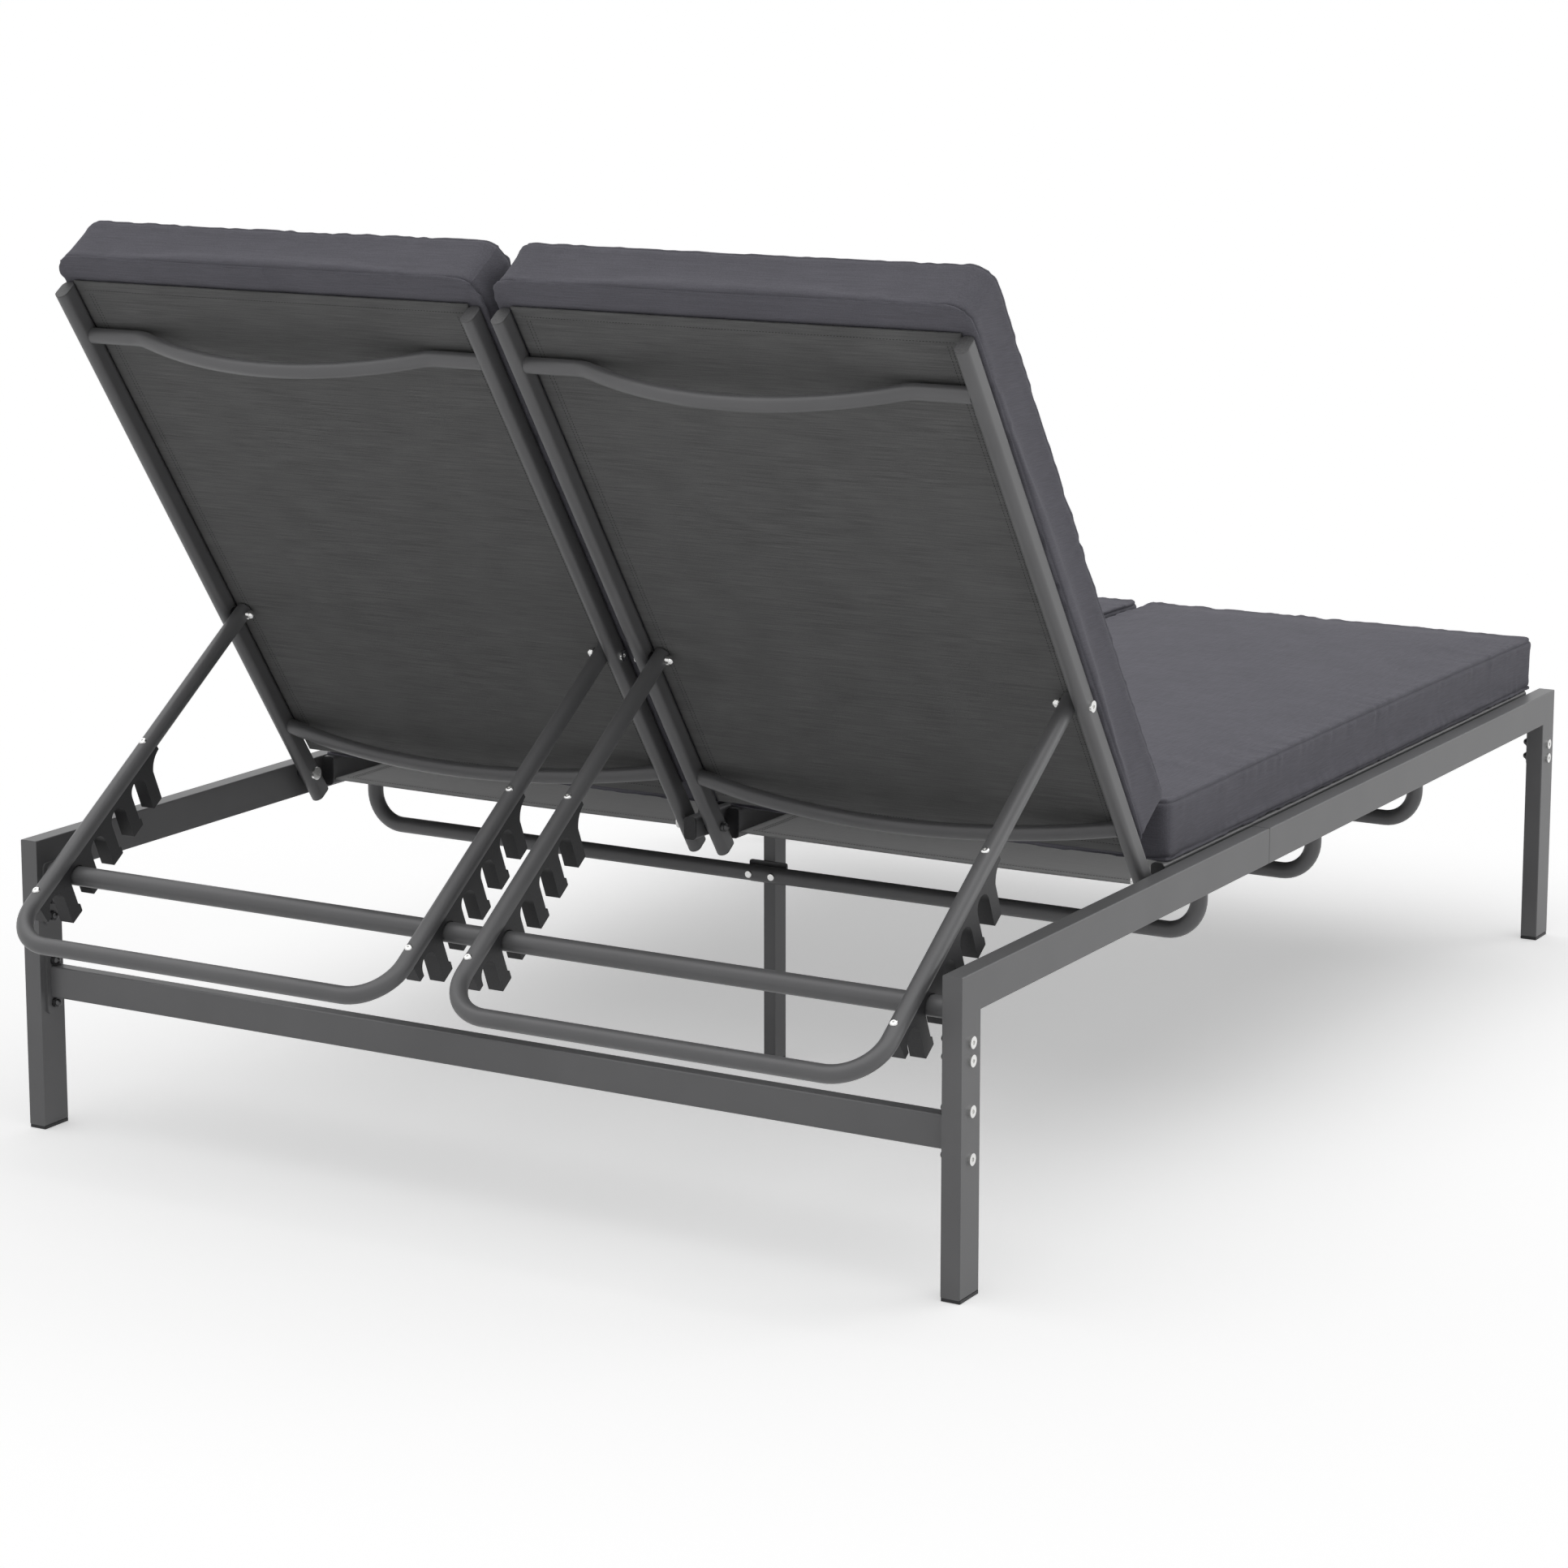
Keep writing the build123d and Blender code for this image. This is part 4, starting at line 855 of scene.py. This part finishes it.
def painted_seam_shades():
    """A fine dark line around each side rail, where its two halves meet: painted shade of the
    narrow gap between them.
    """
    half = SEAM_SHADE_WIDTH / 2
    for side, sign in SIDES:
        points = []
        for reach in (SEAM_SHADE_OUTER, SEAM_SHADE_INNER):
            for y in (SEAM_Y - half, SEAM_Y + half):
                for dx, dz in ((-1, -1), (1, -1), (1, 1), (-1, 1)):
                    x = sign * SIDE_RAIL_X + dx * reach[0]
                    points.append((x, y, SIDE_RAIL_Z + dz * reach[1]))
        faces = []
        for k in range(4):
            n = (k + 1) % 4
            faces.append((k, n, n + 4, k + 4))
            faces.append((k + 12, n + 12, n + 8, k + 8))
            faces.append((k + 8, n + 8, n, k))
            faces.append((k + 4, n + 4, n + 12, k + 12))
        # The ring takes the black plastic look only as painted shade of the gap
        made = mesh_object(f"{side}_painted_seam_shade", points, faces, BLACK_PLASTIC_AND_SEAM_SHADE)
        made.data.polygons.foreach_set("use_smooth", [False] * len(faces))
        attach(made, "base")


def rays_that_see(tree):
    """One where the eye, a gloss or a clear thing sees a surface, else nothing."""
    path = tree.nodes.new("ShaderNodeLightPath")
    seen = path.outputs["Is Camera Ray"]
    for ray in ("Is Glossy Ray", "Is Transmission Ray"):
        either = tree.nodes.new("ShaderNodeMath")
        either.operation = "MAXIMUM"
        tree.links.new(seen, either.inputs[0])
        tree.links.new(path.outputs[ray], either.inputs[1])
        seen = either.outputs["Value"]
    return seen


def studio_floor():
    """A white floor that keeps the object's shadow."""
    bpy.ops.mesh.primitive_plane_add(size=FLOOR_SIZE, location=(0, 0, -FLOOR_BELOW))
    floor = bpy.context.object
    floor.name = "floor"
    g = Graph("floor")
    g.finish(Base_Color=(FLOOR_TONE, FLOOR_TONE, FLOOR_TONE, 1))
    g.finish(Roughness=FLOOR_ROUGHNESS, Specular_IOR_Level=0.0, Emission_Color=WHITE)
    lift = g.node("ShaderNodeMath", operation="MULTIPLY")
    lift.inputs[1].default_value = FLOOR_LIFT
    g.tree.links.new(rays_that_see(g.tree), lift.inputs[0])
    g.link(lift, "Value", g.shader, "Emission Strength")
    floor.data.materials.append(g.material)


def surround():
    """A plain surround, white where it is seen and faint as a light."""
    world = bpy.data.worlds.new("surround")
    bpy.context.scene.world = world
    world.use_nodes = True
    tree = world.node_tree
    background = tree.nodes["Background"]
    background.inputs["Color"].default_value = WHITE
    level = tree.nodes.new("ShaderNodeMix")
    level.inputs["A"].default_value = WORLD_LEVEL
    level.inputs["B"].default_value = 1.0
    tree.links.new(rays_that_see(tree), level.inputs["Factor"])
    tree.links.new(level.outputs["Result"], background.inputs["Strength"])


def lamps():
    """Soft lamps, each turned from its place toward the object."""
    for name, toward, spread, power in LAMPS:
        data = bpy.data.lights.new(name, "SUN")
        data.angle = math.radians(spread)
        data.energy = power
        lamp = bpy.data.objects.new(name, data)
        bpy.context.collection.objects.link(lamp)
        lamp.location = Vector(toward) * LAMP_DISTANCE
        lamp.rotation_euler = Vector(toward).to_track_quat("Z", "Y").to_euler()


def camera():
    """The photograph's view: level turn, slight pitch, small shift."""
    data = bpy.data.cameras.new("camera")
    data.lens = CAMERA_LENS
    data.sensor_width = CAMERA_SENSOR
    data.shift_y = CAMERA_SHIFT_Y
    made = bpy.data.objects.new("camera", data)
    bpy.context.collection.objects.link(made)
    made.location = CAMERA_PLACE
    yaw = math.radians(180 + CAMERA_YAW)
    made.rotation_euler = (math.radians(90 - CAMERA_PITCH), 0, yaw)
    bpy.context.scene.camera = made


dress_frame()
slings()
cushions()
painted_seam_shades()
studio_floor()
surround()
lamps()
camera()
bpy.context.scene.view_settings.view_transform = "Standard"
